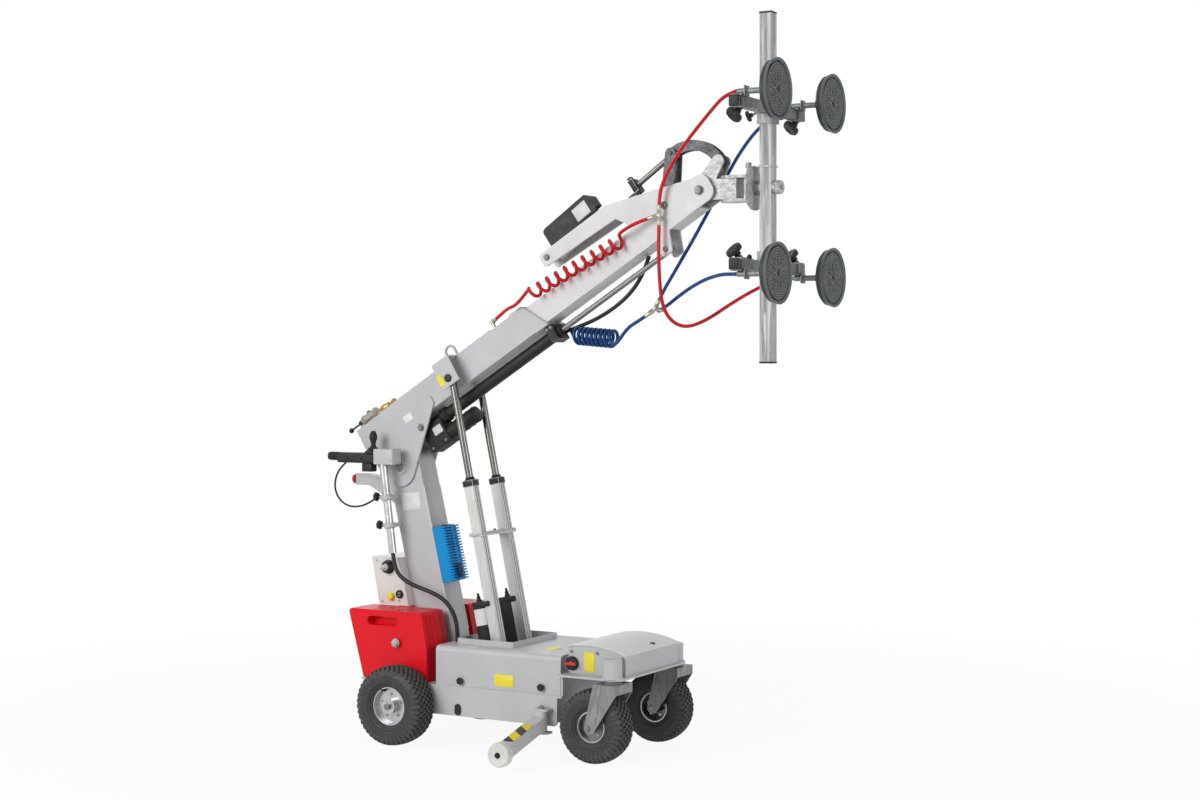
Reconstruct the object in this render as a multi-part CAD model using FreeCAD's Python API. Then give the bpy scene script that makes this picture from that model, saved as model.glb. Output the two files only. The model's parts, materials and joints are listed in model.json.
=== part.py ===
import FreeCAD, Part
import math
import os

V = FreeCAD.Vector
os.makedirs("parts", exist_ok=True)

# Lengths are in millimetres. While pieces are drawn, X runs forward from the rear axle, Y to the
# left and Z up from the floor. Every piece is then moved along X so that the middle of the whole,
# between the cup faces and the end of the hand grip, lies over the origin.
cup_face_x = 1640.0
grip_end_x = -475.0

# Fits
running_fit = 0.05
seat_gap = 0.3
overrun = 8.0

# Rear wheels
rear_radius = 158.0
rear_width = 125.0
rear_bead = 76.0
rear_gap = 4.5
rear_hub_radius = 30.0
axle_radius = 12.5
axle_nut_reach = 12.0
rim_sheet = 4.0
tyre_bead_share = 0.74
tyre_shoulder_share = 0.84
tyre_belly_share = 0.50
tyre_shoulder_rise_share = 0.88
rim_barrel_share = 0.70
rim_disc_share = 0.30
rim_hub_share = 0.78

# Casters
caster_radius = 143.0
caster_width = 106.0
caster_bead = 58.0
caster_x = 878.0
swivel_gap = 2.0
caster_hub_radius = 22.0
caster_pin_radius = 10.0
swivel_x = 950.0
fork_gap = 7.0
fork_plate = 6.0
fork_foot = 21.0
fork_nut = 5.0
crown_half = 48.0
crown_thick = 12.0
crown_skirt = 36.0
crown_skirt_depth = 50.0
stem_radius = 15.0
stem_length = 72.0
bearing_height = 12.0

# Deck, skirts and front flange
deck_top = 242.0
deck_sheet = 8.0
deck_rear_x = -215.0
frame_half = 260.0
frame_rear_x = 100.0
frame_front_x = 710.0
frame_low_z = 125.0
frame_edge = 14.0
skirt_sheet = 6.0
bulkhead_x = 722.0
flange_low_z = 321.0
flange_thick = 8.0
flange_front_x = 1000.0
flange_over = 34.0
flange_corner = 46.0
swivel_tube_radius = 36.0
swivel_collar_radius = 28.0
swivel_tube_top = 398.0

# Drive axle under the deck
axle_tube_radius = 36.0
axle_tube_inset = 24.0
gear_case_half = 76.0
gear_case_y = 62.0
drive_motor_radius = 50.0
drive_motor_end_x = 250.0
saddle_half = 44.0
saddle_y = 135.0
saddle_width = 50.0

# Outriggers
leg_pivot_x = 658.0
leg_pivot_out = 28.0
leg_pivot_z = 146.0
leg_hinge_height = 80.0
leg_hinge_radius = 22.0
leg_pin_radius = 10.0
leg_plate = 8.0
leg_plate_half = 32.0
leg_plate_out = 16.0
leg_reach = 292.0
leg_drop = 78.0
leg_size = 52.0
leg_start = 16.0
leg_end_plate = 9.0
leg_end_rise = 26.0
roller_radius = 46.0
roller_width = 40.0
roller_pin_radius = 8.0
roller_edge = 7.0

# Hood over the battery bay
hood_rear_x = 143.0
hood_front_x = 720.0
hood_inset = 10.0
hood_top_z = 396.0
hood_sheet = 3.0
hood_edge = 20.0
bay_rear_x = 195.0
bay_front_x = 450.0
bay_half = 165.0
lip_height = 22.0

# Front housing and lid
module_rear_x = 733.0
module_front_x = 985.0
module_half = 212.0
module_sheet = 4.0
module_rear_z = 430.0
module_crown_z = 437.0
module_crown_share = 0.42
module_front_z = 408.0
lid_over = 5.0
switch_x = 752.0
switch_z = 366.0
switch_shaft_radius = 7.0
switch_key_length = 46.0
switch_key_height = 10.0
switch_key_depth = 12.0
switch_stand_off = 14.0

# Counterweights
weight_inner_y = 95.0
weight_inset = 10.0
weight_count = 5
weight_top_z = 518.0
weight_shoulder_z = 375.0
weight_rear_top_x = -290.0
weight_rear_low_x = -214.0
weight_front_x = 96.0
weight_front_top_x = 68.0
weight_corner = 14.0
slot_x = -120.0
slot_z = 474.0
slot_length = 150.0
slot_height = 36.0
weight_bolt_x = -46.0
weight_bolt_z = 392.0
weight_bolt_radius = 12.0
weight_washer_radius = 20.0
weight_washer = 4.0
weight_nut = 8.0
weight_groove = 1.5

# Column and its fittings
pivot_x = -160.0
pivot_z = 1087.0
pivot_pin_radius = 20.0
column_foot_x = 54.0
column_depth = 165.0
column_side_gap = 2.5
column_wall = 6.0
column_top_rise = 74.0
column_top_corner = 68.0
column_top_shift = 10.0
column_solid_top = 120.0
estop_x = -400.0
estop_inset = 25.5
estop_z = 1029.0
estop_cap_radius = 20.0
estop_cap_depth = 24.0
estop_stem_radius = 11.0
estop_stem = 20.0
bracket_half = 18.0
bracket_rise = 24.0
bracket_foot_top_z = 1030.0
bracket_foot_low_z = 930.0
bracket_bend_x = -330.0
panel_rear_top_x = -281.0
panel_rear_low_x = -243.0
panel_low_z = 520.0
panel_top_z = 716.0
panel_half = 100.0
panel_corner = 8.0
charger_z = 728.0
charger_length = 228.0
charger_width = 99.0
charger_y = -11.0
charger_base = 46.0
charger_fin = 19.0
charger_fin_count = 20
charger_fin_share = 0.55

# Control pole, handle and stick
pole_y = -130.0
pole_top_x = -203.0
pole_top_z = 1101.0
pole_low_x = -153.0
pole_low_z = 737.0
pole_radius = 16.0
lug_shares = (0.38, 0.69)
lug_radius = 25.0
lug_height = 16.0
lug_arm = 10.0
head_box_rear_x = -230.0
head_box_front_x = -135.0
head_box_half = 32.0
head_box_height = 62.0
head_box_edge = 5.0
handle_rear_x = -412.0
handle_low_z = 1103.0
handle_height = 42.0
handle_half = 34.0
handle_edge = 12.0
handle_gap = 0.3
grip_radius = 16.5
grip_z = 1128.0
stick_x = -252.0
bellows_radius = 20.0
bellows_top_radius = 14.0
bellows_height = 13.0
stick_ball_radius = 9.0
stick_radius = 7.0
stick_pin_radius = 2.5
stick_pin_over = 1.5
stick_knob_radius = 15.0
stick_height = 62.0

# Boom, drawn along its own axis S from the foot, with T square to it
boom_angle = 32.0
pivot_drop = 183.0
outer_size = 120.0
outer_wall = 6.0
outer_rear_s = -118.0
outer_front_s = 846.0
outer_cut = 66.0
collar_length = 70.0
collar_wall = 4.0
pad_length = 60.0
boom_slide = 4.0
inner_wall = 5.0
inner_rear_s = 330.0
inner_front_s = 1430.0
inner_cut = 60.0
rail_radius = 8.0
rail_y = 34.0
rail_rear_s = 10.0
rail_front_s = 650.0
gusset_sheet = 8.0
gusset_top_t = -5.0
gusset_rear_s = -118.0
gusset_front_s = 282.0
gusset_nose = 40.0
gusset_corner = 16.0
gusset_low_s = -58.0
gusset_low_t = -326.0
gusset_round = 76.0
pivot_boss_radius = 32.0
pivot_boss = 5.0
lift_s = 431.0
lift_t = -17.0
lift_y = 97.0
lift_pin_radius = 10.0
saddle_length = 88.0
saddle_sheet = 6.0
saddle_side_y = 121.0
saddle_low_t = -48.0
hoop_wire = 5.5
hoop_width = 46.0
hoop_height = 70.0
hoop_s = 425.0

# Telescope drive under the boom
drive_t = -98.0
drive_pin_s = 175.0
drive_pin_radius = 9.0
drive_eye_radius = 19.0
drive_eye_half = 18.0
drive_neck_radius = 15.0
drive_tube_radius = 25.0
drive_tube_rear_s = 200.0
drive_tube_front_s = 928.0
drive_box_rear_s = 152.0
drive_box_length = 104.0
drive_box_half = 39.0
drive_box_low_t = -206.0
drive_motor_tube_radius = 33.0
drive_motor_t = -170.0
drive_motor_front_s = 402.0
drive_clamp_s = 880.0
drive_clamp_length = 34.0
drive_clamp_half = 46.0
drive_clamp_under = 6.0
spindle_radius = 11.0
spindle_rear_s = 720.0
spindle_eye_s = 1503.0
spindle_eye_radius = 17.0
spindle_eye_half = 14.0
spindle_pin_radius = 8.0

# Lift actuators
foot_x = 384.0
foot_z = 200.0
lift_rod_radius = 15.0
lift_eye_radius = 22.0
lift_eye_half = 13.0
barrel_size = 42.0
barrel_start = 421.0
barrel_tail = 24.0
rod_stroke = 206.0
barrel_cap = 24.0
barrel_cap_size = 48.0
barrel_floor = 30.0
tie_along = 640.0
tie_thick = 10.0
tie_depth = 62.0
tie_over = 8.0
lift_motor_along = 925.0
lift_motor_length = 180.0
lift_motor_radius = 32.0
foot_cheek = 8.0
foot_side_gap = 2.0
foot_half = 56.0
foot_low_z = 140.0
foot_pin_radius = 10.0
foot_pin_length = 1.5

# Boom head, cheeks and pivots on the boom's axes
cheek_inner = 40.0
cheek_outer = 50.0
head_s = 1741.0
head_t = 12.0
head_pin_radius = 12.0
head_round = 54.0
lever_s = 1587.0
lever_t = 47.0
lever_pin_radius = 10.0
tilt_rear_s = 1041.0
tilt_rear_t = 168.0
tilt_pin_radius = 8.0
cheek_arm_s = 1012.0
cheek_arm_top_t = 194.0
cheek_arm_low_t = 138.0
cheek_top_bend_s = 1370.0
cheek_throat_s = 1380.0
cheek_throat_t = 124.0
cheek_lobe_s = 1495.0
cheek_lobe_t = -122.0
cheek_notch_s = 1552.0
cheek_low_t = -44.0
cheek_front_top_t = 66.0
cheek_corner = 14.0
web_sheet = 8.0
web_end_s = 1706.0

# Tilt linkage
lever_top_s = 1706.0
lever_top_t = 209.0
lever_inner = 23.5
lever_plate = 8.0
lever_foot_radius = 28.0
lever_tip_radius = 22.0
link_pin_radius = 8.0
link_inner = 12.5
link_plate = 8.0
link_bow = 46.0
link_width = 40.0
link_open_radius = 14.5
ear_pin_radius = 6.5
ear_radius = 24.0
ear_s = 1858.0
ear_t = 68.0
rod_eye_half = 11.0
rod_eye_radius = 21.0
rod_eye_bore = 15.0
tilt_rod_radius = 11.0
tilt_rod_tail = 300.0
tilt_tube_size = 44.0
tilt_tube_start = 26.0
tilt_tube_end = 452.0
tilt_cap = 22.0
tilt_cap_size = 56.0
tilt_eye_radius = 18.0
tilt_eye_half = 16.0
tilt_neck_radius = 14.0
motor_start = 36.0
motor_length = 246.0
motor_height = 82.0
motor_half = 37.0
motor_edge = 18.0

# Knuckle, yoke and suction bar
rotor_z = 2177.0
swing_x = 1330.0
swing_pin_radius = 12.0
knuckle_inner = 23.5
knuckle_outer = 34.0
knuckle_round = 46.0
block_rear_x = 1298.0
block_front_x = 1362.0
block_half_height = 39.0
yoke_plate = 11.0
yoke_half = 44.0
yoke_front_x = 1418.0
yoke_face = 10.0
disc_radius = 84.0
disc_thick = 8.0
bar_x = 1478.0
bar_size = 50.0
bar_wall = 4.0
bar_length = 1320.0
bar_corner = 4.0
spigot_radius = 16.0
spigot_end_x = 1524.0
hub_radius = 27.0
nut_radius = 24.0
nut_thick = 14.0

# Crossarms, clamps and cups
arm_offset = 297.0
arm_size = 40.0
arm_wall = 3.0
arm_end_y = 292.0
sleeve_wall = 6.0
sleeve_length = 85.0
sleeve_side_share = 0.69
cup_y = 250.0
clamp_wall = 4.0
clamp_width = 52.0
stem_tube_radius = 11.0
stem_rear_x = 1474.0
nipple_radius = 7.0
nipple_length = 14.0
cup_radius = 114.0
cup_hub_radius = 34.0
cup_hub_x = 1574.0
cup_depth = 42.0
cup_lip = 11.0
cup_lip_edge = 6.0
cup_recess = 3.5

# Vacuum valve on the boom's rear end
valve_s = -52.0
valve_length = 84.0
valve_y = -14.0
valve_radius = 19.0
valve_seat = 12.0
valve_fitting_radius = 13.0
valve_fitting_length = 34.0
valve_lever_s = -108.0
valve_lever_length = 62.0
valve_lever_radius = 4.0
valve_ball_radius = 11.0
valve_hub_radius = 10.0
valve_hub_half = 8.0

# Hoses and cables: outside diameters, coil sizes and fittings
hose_size = 14.0
boom_cable_size = 16.0
conduit_size = 17.0
stick_cable_size = 8.0
coil_turns_red = 10
coil_radius_red = 23.0
coil_turns_blue = 8.5
coil_radius_blue = 31.0
coil_steps = 4
coil_fineness = 1000
straight_share = 0.0001
parallel_share = 0.000000001
fitting_radius = 8.5
fitting_length = 26.0

# Hose routes, chosen by hand
red_lead_in = [(297, -51, 1693), (332, -55, 1718), (374, -78, 1736), (422, -98, 1746)]
red_coil_ends = [(486, -85, 1793), (894, -85, 1990)]
red_lead_out = [(938, -100, 2042), (978, -88, 2062), (1018, -80, 2074)]
red_tee = (1056, -78, 2084)
red_up = [(1056, -78, 2112), (1058, -79, 2158), (1076, -83, 2212), (1118, -96, 2270), (1180, -120, 2336),
          (1264, -156, 2404), (1350, -198, 2466), (1414, -236, 2502), (1460, -250, 2510)]
red_down = [(1056, -78, 2056), (1055, -80, 1985), (1058, -84, 1900), (1064, -86, 1812), (1074, -84, 1736),
            (1098, -62, 1678), (1140, -18, 1652), (1196, 46, 1682), (1262, 122, 1746), (1332, 196, 1804),
            (1402, 240, 1838), (1460, 250, 1844)]
blue_lead_in = [(532, 75, 1674), (568, 73, 1668)]
blue_coil_ends = [(634, 22, 1626), (828, -20, 1612)]
blue_lead_out = [(898, -44, 1654), (940, -32, 1680), (976, -24, 1704)]
blue_tee = (1008, -20, 1726)
blue_up = [(1018, -16, 1750), (1036, -8, 1794), (1066, 8, 1852), (1104, 26, 1924), (1144, 46, 2002),
           (1184, 68, 2086), (1226, 84, 2170), (1266, 100, 2254), (1304, 126, 2334), (1344, 170, 2410),
           (1384, 216, 2464), (1418, 241, 2497), (1460, 250, 2510)]
blue_down = [(1034, -26, 1722), (1070, -38, 1738), (1122, -62, 1766), (1196, -100, 1800), (1282, -152, 1828),
             (1362, -204, 1842), (1422, -242, 1846), (1460, -250, 1844)]
boom_cable_route = [(571, 36, 1642), (606, 36, 1653), (656, 35, 1669), (713, 33, 1690), (776, 31, 1721),
                    (835, 29, 1759), (882, 28, 1801), (917, 27, 1846), (941, 26, 1892), (957, 26, 1934)]
conduit_route = [(-153, -130, 737), (-146, -132, 698), (-124, -138, 656), (-80, -142, 626), (-18, -142, 606),
                 (50, -140, 588), (110, -136, 560), (148, -130, 510), (163, -126, 452), (163, -126, 396)]
stick_cable_route = [(-392, -130, 1102), (-416, -132, 1082), (-436, -136, 1050), (-443, -140, 1012),
                     (-432, -144, 972), (-402, -146, 938), (-360, -147, 922), (-316, -146, 922),
                     (-274, -142, 934), (-238, -138, 956)]


# Places worked out from the sizes above
middle_x = (cup_face_x + grip_end_x) / 2
rear_y = frame_half + rear_gap + rear_width / 2
caster_y = module_half + swivel_gap + swivel_tube_radius
flange_half = caster_y + flange_over
leg_pivot_y = frame_half + leg_pivot_out
crown_top = flange_low_z - bearing_height
along = V(math.cos(math.radians(boom_angle)), 0, math.sin(math.radians(boom_angle)))
across = V(-along.z, 0, along.x)
pivot = V(pivot_x, 0, pivot_z)
foot = pivot + across * pivot_drop
bar_half = bar_size / 2
hood_half = frame_half - hood_inset
axle_tube_end_y = frame_half - axle_tube_inset
weight_outer_y = frame_half - weight_inset
outer_half = outer_size / 2
column_half = outer_half - column_side_gap
estop_y = estop_inset - column_half
inner_size = outer_size - 2 * (outer_wall + boom_slide)
inner_half = inner_size / 2
arm_half = arm_size / 2
cup_drop = arm_half + seat_gap + clamp_wall + stem_tube_radius
leg_slope = leg_drop / leg_reach
rail_t = outer_half + rail_radius
column_lean = (pivot_x + column_top_shift - column_foot_x) / (pivot_z - deck_top)


def boom_point(s, y, t):
    """Place of a point given along the boom."""
    return foot + along * s + across * t + V(0, y, 0)


head_pivot = boom_point(head_s, 0, head_t)
lever_pivot = boom_point(lever_s, 0, lever_t)
lever_top = boom_point(lever_top_s, 0, lever_top_t)
tilt_rear = boom_point(tilt_rear_s, 0, tilt_rear_t)
ear = boom_point(ear_s, 0, ear_t)
lift_top = boom_point(lift_s, 0, lift_t)
lift_foot = V(foot_x, 0, foot_z)
lift_dir = (lift_foot - lift_top).normalize()
tilt_dir = (lever_top - tilt_rear).normalize()
pole_low = V(pole_low_x, pole_y, pole_low_z)
pole_top = V(pole_top_x, pole_y, pole_top_z)
pole_dir = (pole_top - pole_low).normalize()


# Drawing helpers
def save(name, *solids):
    """Write one piece, moved so that the middle of the whole is over the origin."""
    shape = solids[0] if len(solids) == 1 else Part.makeCompound(list(solids))
    moved = shape.copy()
    moved.translate(V(-middle_x, 0, 0))
    moved.exportStep("parts/" + name + ".step")


def box(x0, x1, y0, y1, z0, z1):
    return Part.makeBox(x1 - x0, y1 - y0, z1 - z0, V(x0, y0, z0))


def rod(start, end, radius):
    return Part.makeCylinder(radius, (end - start).Length, start, end - start)


def cross_pin(point, half, radius):
    """Cylinder along Y, as long each side of the point's XZ place."""
    return rod(V(point.x, -half, point.z), V(point.x, half, point.z), radius)


def ring(point, half, outer, inner):
    return cross_pin(point, half, outer).cut(cross_pin(point, half + overrun, inner))


def mirrored(shape):
    return shape.mirror(V(0, 0, 0), V(0, 1, 0))


def both_sides(shape):
    return [shape, mirrored(shape)]


def joined(first, *others):
    return first.fuse(list(others)).removeSplitter()


def rounded_edges(points, radii):
    """Straight edges through points with a tangent arc of the given radius at each corner."""
    count = len(points)
    cuts = []
    for i in range(count):
        before = (points[i - 1] - points[i]).normalize()
        after = (points[(i + 1) % count] - points[i]).normalize()
        radius = radii[i]
        turn = math.pi - before.getAngle(after)
        if radius == 0 or turn == 0:
            cuts.append((points[i], None, points[i]))
            continue
        back = radius * math.tan(turn / 2)
        middle = (before + after).normalize()
        reach = radius / math.cos(turn / 2) - radius
        cuts.append((points[i] + before * back, points[i] + middle * reach, points[i] + after * back))
    return cuts


def rounded_face(points, radii):
    if not isinstance(radii, list):
        radii = [radii] * len(points)
    cuts = rounded_edges(points, radii)
    edges = []
    for i, (start, middle, end) in enumerate(cuts):
        if middle is not None:
            edges.append(Part.Arc(start, middle, end).toShape())
        following = cuts[(i + 1) % len(cuts)][0]
        if (following - end).Length > 0:
            edges.append(Part.makeLine(end, following))
    return Part.Face(Part.Wire(edges))


def slab(pairs, radii, y0, y1):
    """Plate whose outline lies in XZ, between two places along Y."""
    face = rounded_face([V(x, y0, z) for x, z in pairs], radii)
    return face.extrude(V(0, y1 - y0, 0))


def floor_plate(pairs, radii, z0, z1):
    face = rounded_face([V(x, y, z0) for x, y in pairs], radii)
    return face.extrude(V(0, 0, z1 - z0))


def boom_slab(pairs, radii, y0, y1):
    """Plate whose outline is given along the boom."""
    face = rounded_face([boom_point(s, y0, t) for s, t in pairs], radii)
    return face.extrude(V(0, y1 - y0, 0))


def boom_box(s0, s1, y0, y1, t0, t1):
    return boom_slab([(s0, t0), (s1, t0), (s1, t1), (s0, t1)], 0, y0, y1)


def boom_rod(s0, s1, y, t, radius):
    return rod(boom_point(s0, y, t), boom_point(s1, y, t), radius)


def strut(start, direction, d0, d1, y, size):
    """Square bar along a direction in the XZ plane."""
    side = V(-direction.z, 0, direction.x) * (size / 2)
    corners = [start + direction * d0 + side, start + direction * d1 + side,
               start + direction * d1 - side, start + direction * d0 - side]
    face = rounded_face([p + V(0, y - size / 2, 0) for p in corners], 0)
    return face.extrude(V(0, size, 0))


# Cord helpers
def cord(name, points, size):
    """Tube along straight runs joined by arcs as large as the runs allow."""
    places = [V(*p) for p in points]
    radii = [0]
    for a, b, c in zip(places, places[1:], places[2:]):
        turn = (b - a).getAngle(c - b)
        radii.append(cord_arc_share * min((b - a).Length, (c - b).Length) / math.tan(turn / 2))
    radii.append(0)
    cuts = rounded_edges(places, radii)
    edges = []
    for i, (start, middle, end) in enumerate(cuts):
        if middle is not None:
            edges.append(Part.Arc(start, middle, end).toShape())
        if i + 1 < len(cuts):
            edges.append(Part.makeLine(end, cuts[i + 1][0]))
    return swept(name, edges, places[0], places[1] - places[0], size, radii[1:-1])


def seat_of(first, second, size):
    """Room for the end of a cord that starts at the first point and leaves towards the second."""
    start = V(*first)
    run = (V(*second) - start).normalize()
    return rod(start - run * seat_gap, V(*second), size / 2 + seat_gap)


def swept(name, edges, start, direction, size, radii):
    path = Part.Wire(edges)
    section = Part.Wire(Part.makeCircle(size / 2, start, direction))
    tube = path.makePipeShell([section], True, False)
    expected = math.pi * size * size / 4 * path.Length
    print(name, "length", round(path.Length, 1), "least radius", round(min(radii), 1),
          "volume share", round(tube.Volume / expected, 4))
    return tube


cord_arc_share = 0.45


def arc_between(start, tangent, end):
    """Arc that leaves start along the tangent and ends at end."""
    chord = end - start
    flat = V(chord).normalize()
    lift = tangent - flat * tangent.dot(flat)
    half_turn = tangent.getAngle(flat)
    if half_turn < straight_share:
        return Part.makeLine(start, end), math.inf
    rise = chord.Length / 2 * math.tan(half_turn / 2)
    middle = (start + end) * 0.5 + lift.normalize() * rise
    return Part.Arc(start, middle, end).toShape(), chord.Length / 2 / math.sin(half_turn)


def biarc(p0, t0, p1, t1):
    """Two arcs that meet tangentially between two points with given directions."""
    v = p1 - p0
    t = t0 + t1
    denominator = 2 * (1 - t0.dot(t1))
    vt = v.dot(t)
    if denominator < parallel_share:
        d = v.dot(v) / (4 * v.dot(t1))
    else:
        d = (math.sqrt(vt * vt + denominator * v.dot(v)) - vt) / denominator
    joint = (p0 + t0 * d + p1 - t1 * d) * 0.5
    first, r0 = arc_between(p0, t0, joint)
    meeting = (joint - p0 - t0 * d).normalize()
    second, r1 = arc_between(joint, meeting, p1)
    return [first, second], min(r0, r1)


def coil_point(start, end, side, hand, radius, turns, u):
    """Point of a curly hose at u turns along its axis, beginning on the given side of it."""
    axis = end - start
    lean = V(axis).normalize()
    first = (side - lean * side.dot(lean)).normalize()
    second = lean.cross(first) * hand
    angle = 2 * math.pi * u
    return start + axis * (u / turns) + (first * math.cos(angle) + second * math.sin(angle)) * radius


def curly_hose(name, lead_in, coil_ends, lead_out, side, hand, radius, turns, size):
    """One unbroken tube: a lead, a coil that it joins along the curl, and a second lead."""
    start, end = [V(*p) for p in coil_ends]
    lean = (end - start).normalize()
    step_count = round(turns * coil_steps)
    turn_step = 1.0 / coil_steps
    nudge = turn_step / coil_fineness
    curl = []
    for i in range(step_count + 1):
        u = i * turn_step
        point = coil_point(start, end, side, hand, radius, turns, u)
        ahead = coil_point(start, end, side, hand, radius, turns, u + nudge)
        behind = coil_point(start, end, side, hand, radius, turns, u - nudge)
        curl.append((point, (ahead - behind).normalize()))
    first, first_run = curl[0]
    last, last_run = curl[-1]
    entry = [(first - (first_run + lean) * radius, lean)]
    leaving = [(last + (last_run + lean) * radius, lean)]
    before = lead_knots(lead_in, entry[0][0])
    after = lead_knots(lead_out[::-1], leaving[0][0])
    after = [(point, direction * -1) for point, direction in after[::-1]]
    knots = before + entry + curl + leaving + after
    begin = knots[0][0] - knots[0][1] * size
    finish = knots[-1][0] + knots[-1][1] * size
    edges = [Part.makeLine(begin, knots[0][0])]
    radii = []
    for (p0, t0), (p1, t1) in zip(knots, knots[1:]):
        arcs, least = biarc(p0, t0, p1, t1)
        edges += arcs
        radii.append(least)
    edges.append(Part.makeLine(knots[-1][0], finish))
    samples = []
    for i in range(step_count * coil_steps + 1):
        samples.append(coil_point(start, end, side, hand, radius, turns, i * turn_step / coil_steps))
    skip = coil_steps * coil_steps // 2
    least_gap = min((a - b).Length for i, a in enumerate(samples) for b in samples[i + skip:]) - size
    print(name, "least gap between turns", round(least_gap, 2))
    return swept(name, edges, begin, knots[0][1], size, radii)


def lead_knots(points, following):
    """Places and directions along a hose lead that goes on to a following place."""
    places = [V(*p) for p in points] + [following]
    knots = [(places[0], (places[1] - places[0]).normalize())]
    for a, b, c in zip(places, places[1:], places[2:]):
        knots.append((b, (c - a).normalize()))
    return knots


# Wheels
def tyre(centre, radius, width, bead):
    half = width / 2
    rise = radius - bead
    bead_y = half * tyre_bead_share
    belly_r = bead + rise * tyre_belly_share
    shoulder_r = bead + rise * tyre_shoulder_rise_share
    shoulder_y = half * tyre_shoulder_share
    wall = Part.Arc(V(bead, bead_y, 0), V(belly_r, half, 0), V(shoulder_r, shoulder_y, 0)).toShape()
    crown = Part.Arc(V(shoulder_r, shoulder_y, 0), V(radius, 0, 0), V(shoulder_r, -shoulder_y, 0)).toShape()
    back = Part.Arc(V(shoulder_r, -shoulder_y, 0), V(belly_r, -half, 0), V(bead, -bead_y, 0)).toShape()
    base = Part.makeLine(V(bead, -bead_y, 0), V(bead, bead_y, 0))
    solid = Part.Face(Part.Wire([wall, crown, back, base])).revolve(V(0, 0, 0), V(0, 1, 0), 360)
    solid.translate(centre)
    return solid


def rim(centre, width, bead, hub, bore, outward):
    half = width / 2
    barrel_radius = bead - seat_gap
    middle = V(centre.x, 0, centre.z)
    barrel = ring(middle, half * rim_barrel_share, barrel_radius, barrel_radius - rim_sheet)
    disc = ring(middle, rim_sheet / 2, barrel_radius - rim_sheet / 2, bore + rim_sheet)
    disc.translate(V(0, outward * half * rim_disc_share, 0))
    core = ring(middle, half * rim_hub_share, hub, bore)
    solid = joined(barrel, disc, core).cut(cross_pin(middle, width, bore))
    solid.translate(V(0, centre.y, 0))
    return solid


def rear_wheels():
    for side, sign in (("right", -1), ("left", 1)):
        centre = V(0, sign * rear_y, rear_radius)
        save("rear_tyre_" + side, tyre(centre, rear_radius, rear_width, rear_bead))
        bore = axle_radius + running_fit
        save("rear_rim_" + side, rim(centre, rear_width, rear_bead, rear_hub_radius, bore, sign))


def caster_fork():
    inner = caster_width / 2 + fork_gap
    outer = inner + fork_plate
    centre = V(caster_x, 0, caster_radius)
    outline = [(caster_x - fork_foot, caster_radius - fork_foot),
               (caster_x + fork_foot, caster_radius - fork_foot),
               (swivel_x + crown_half, crown_top - crown_skirt), (swivel_x + crown_half, crown_top),
               (swivel_x - crown_half, crown_top)]
    corners = [fork_foot, fork_foot, fork_plate, 0, 0]
    plates = both_sides(slab(outline, corners, inner, outer))
    crown = box(swivel_x - crown_half, swivel_x + crown_half, -outer, outer, crown_top - crown_thick,
                crown_top)
    nose = box(swivel_x + crown_half - crown_skirt_depth, swivel_x + crown_half, -outer, outer,
               crown_top - crown_skirt, crown_top)
    stem = rod(V(swivel_x, 0, crown_top - crown_thick), V(swivel_x, 0, crown_top + stem_length), stem_radius)
    pin = cross_pin(centre, outer + fork_nut, caster_pin_radius)
    return joined(crown, nose, stem, pin, *plates)


def casters():
    fork = caster_fork()
    for side, sign in (("right", -1), ("left", 1)):
        centre = V(caster_x, sign * caster_y, caster_radius)
        moved = fork.copy()
        moved.translate(V(0, sign * caster_y, 0))
        save("caster_fork_" + side, moved)
        save("caster_tyre_" + side, tyre(centre, caster_radius, caster_width, caster_bead))
        bore = caster_pin_radius + running_fit
        save("caster_rim_" + side, rim(centre, caster_width, caster_bead, caster_hub_radius, bore, sign))


# Chassis
def base_frame():
    half = frame_half
    deck = box(deck_rear_x, bulkhead_x + flange_thick, -half, half, deck_top - deck_sheet, deck_top)
    slot = lift_foot + lift_dir * ((deck_top - foot_z) / lift_dir.z)
    for sign in (-1, 1):
        y0 = sign * lift_y - barrel_size / 2 - foot_side_gap
        y1 = sign * lift_y + barrel_size / 2 + foot_side_gap
        deck = deck.cut(box(slot.x - foot_half, slot.x + foot_half, y0, y1, 0, deck_top + overrun))
    skirt = slab([(frame_rear_x, frame_low_z), (frame_front_x, frame_low_z), (frame_front_x, deck_top),
                  (frame_rear_x, deck_top)], [frame_edge, frame_edge, 0, 0], half - skirt_sheet, half)
    front = box(frame_front_x - skirt_sheet, frame_front_x, -half, half, frame_low_z + frame_edge, deck_top)
    bulkhead = box(bulkhead_x, bulkhead_x + flange_thick, -hood_half, hood_half, deck_top - deck_sheet,
                   flange_low_z + flange_thick)
    flange = floor_plate([(bulkhead_x, -flange_half), (flange_front_x, -flange_half),
                          (flange_front_x, flange_half), (bulkhead_x, flange_half)],
                         [0, flange_corner, flange_corner, 0], flange_low_z, flange_low_z + flange_thick)
    pieces = both_sides(skirt) + [front, bulkhead, flange]
    brackets = []
    for sign in (-1, 1):
        axis = V(swivel_x, sign * caster_y, 0)
        pieces.append(rod(axis + V(0, 0, flange_low_z), axis + V(0, 0, swivel_tube_top), swivel_tube_radius))
        pieces.append(rod(axis + V(0, 0, crown_top + seat_gap), axis + V(0, 0, flange_low_z + flange_thick),
                          swivel_collar_radius))
        pieces.append(axle_saddle(sign))
        brackets += outrigger_bracket(sign)
        pieces += lift_cheeks(sign)
    frame = joined(deck, *pieces)
    for sign in (-1, 1):
        axis = V(swivel_x, sign * caster_y, 0)
        bore = rod(axis, axis + V(0, 0, crown_top + stem_length + seat_gap), stem_radius + running_fit)
        frame = frame.cut(bore)
    save("base_frame", frame, *brackets)


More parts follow.
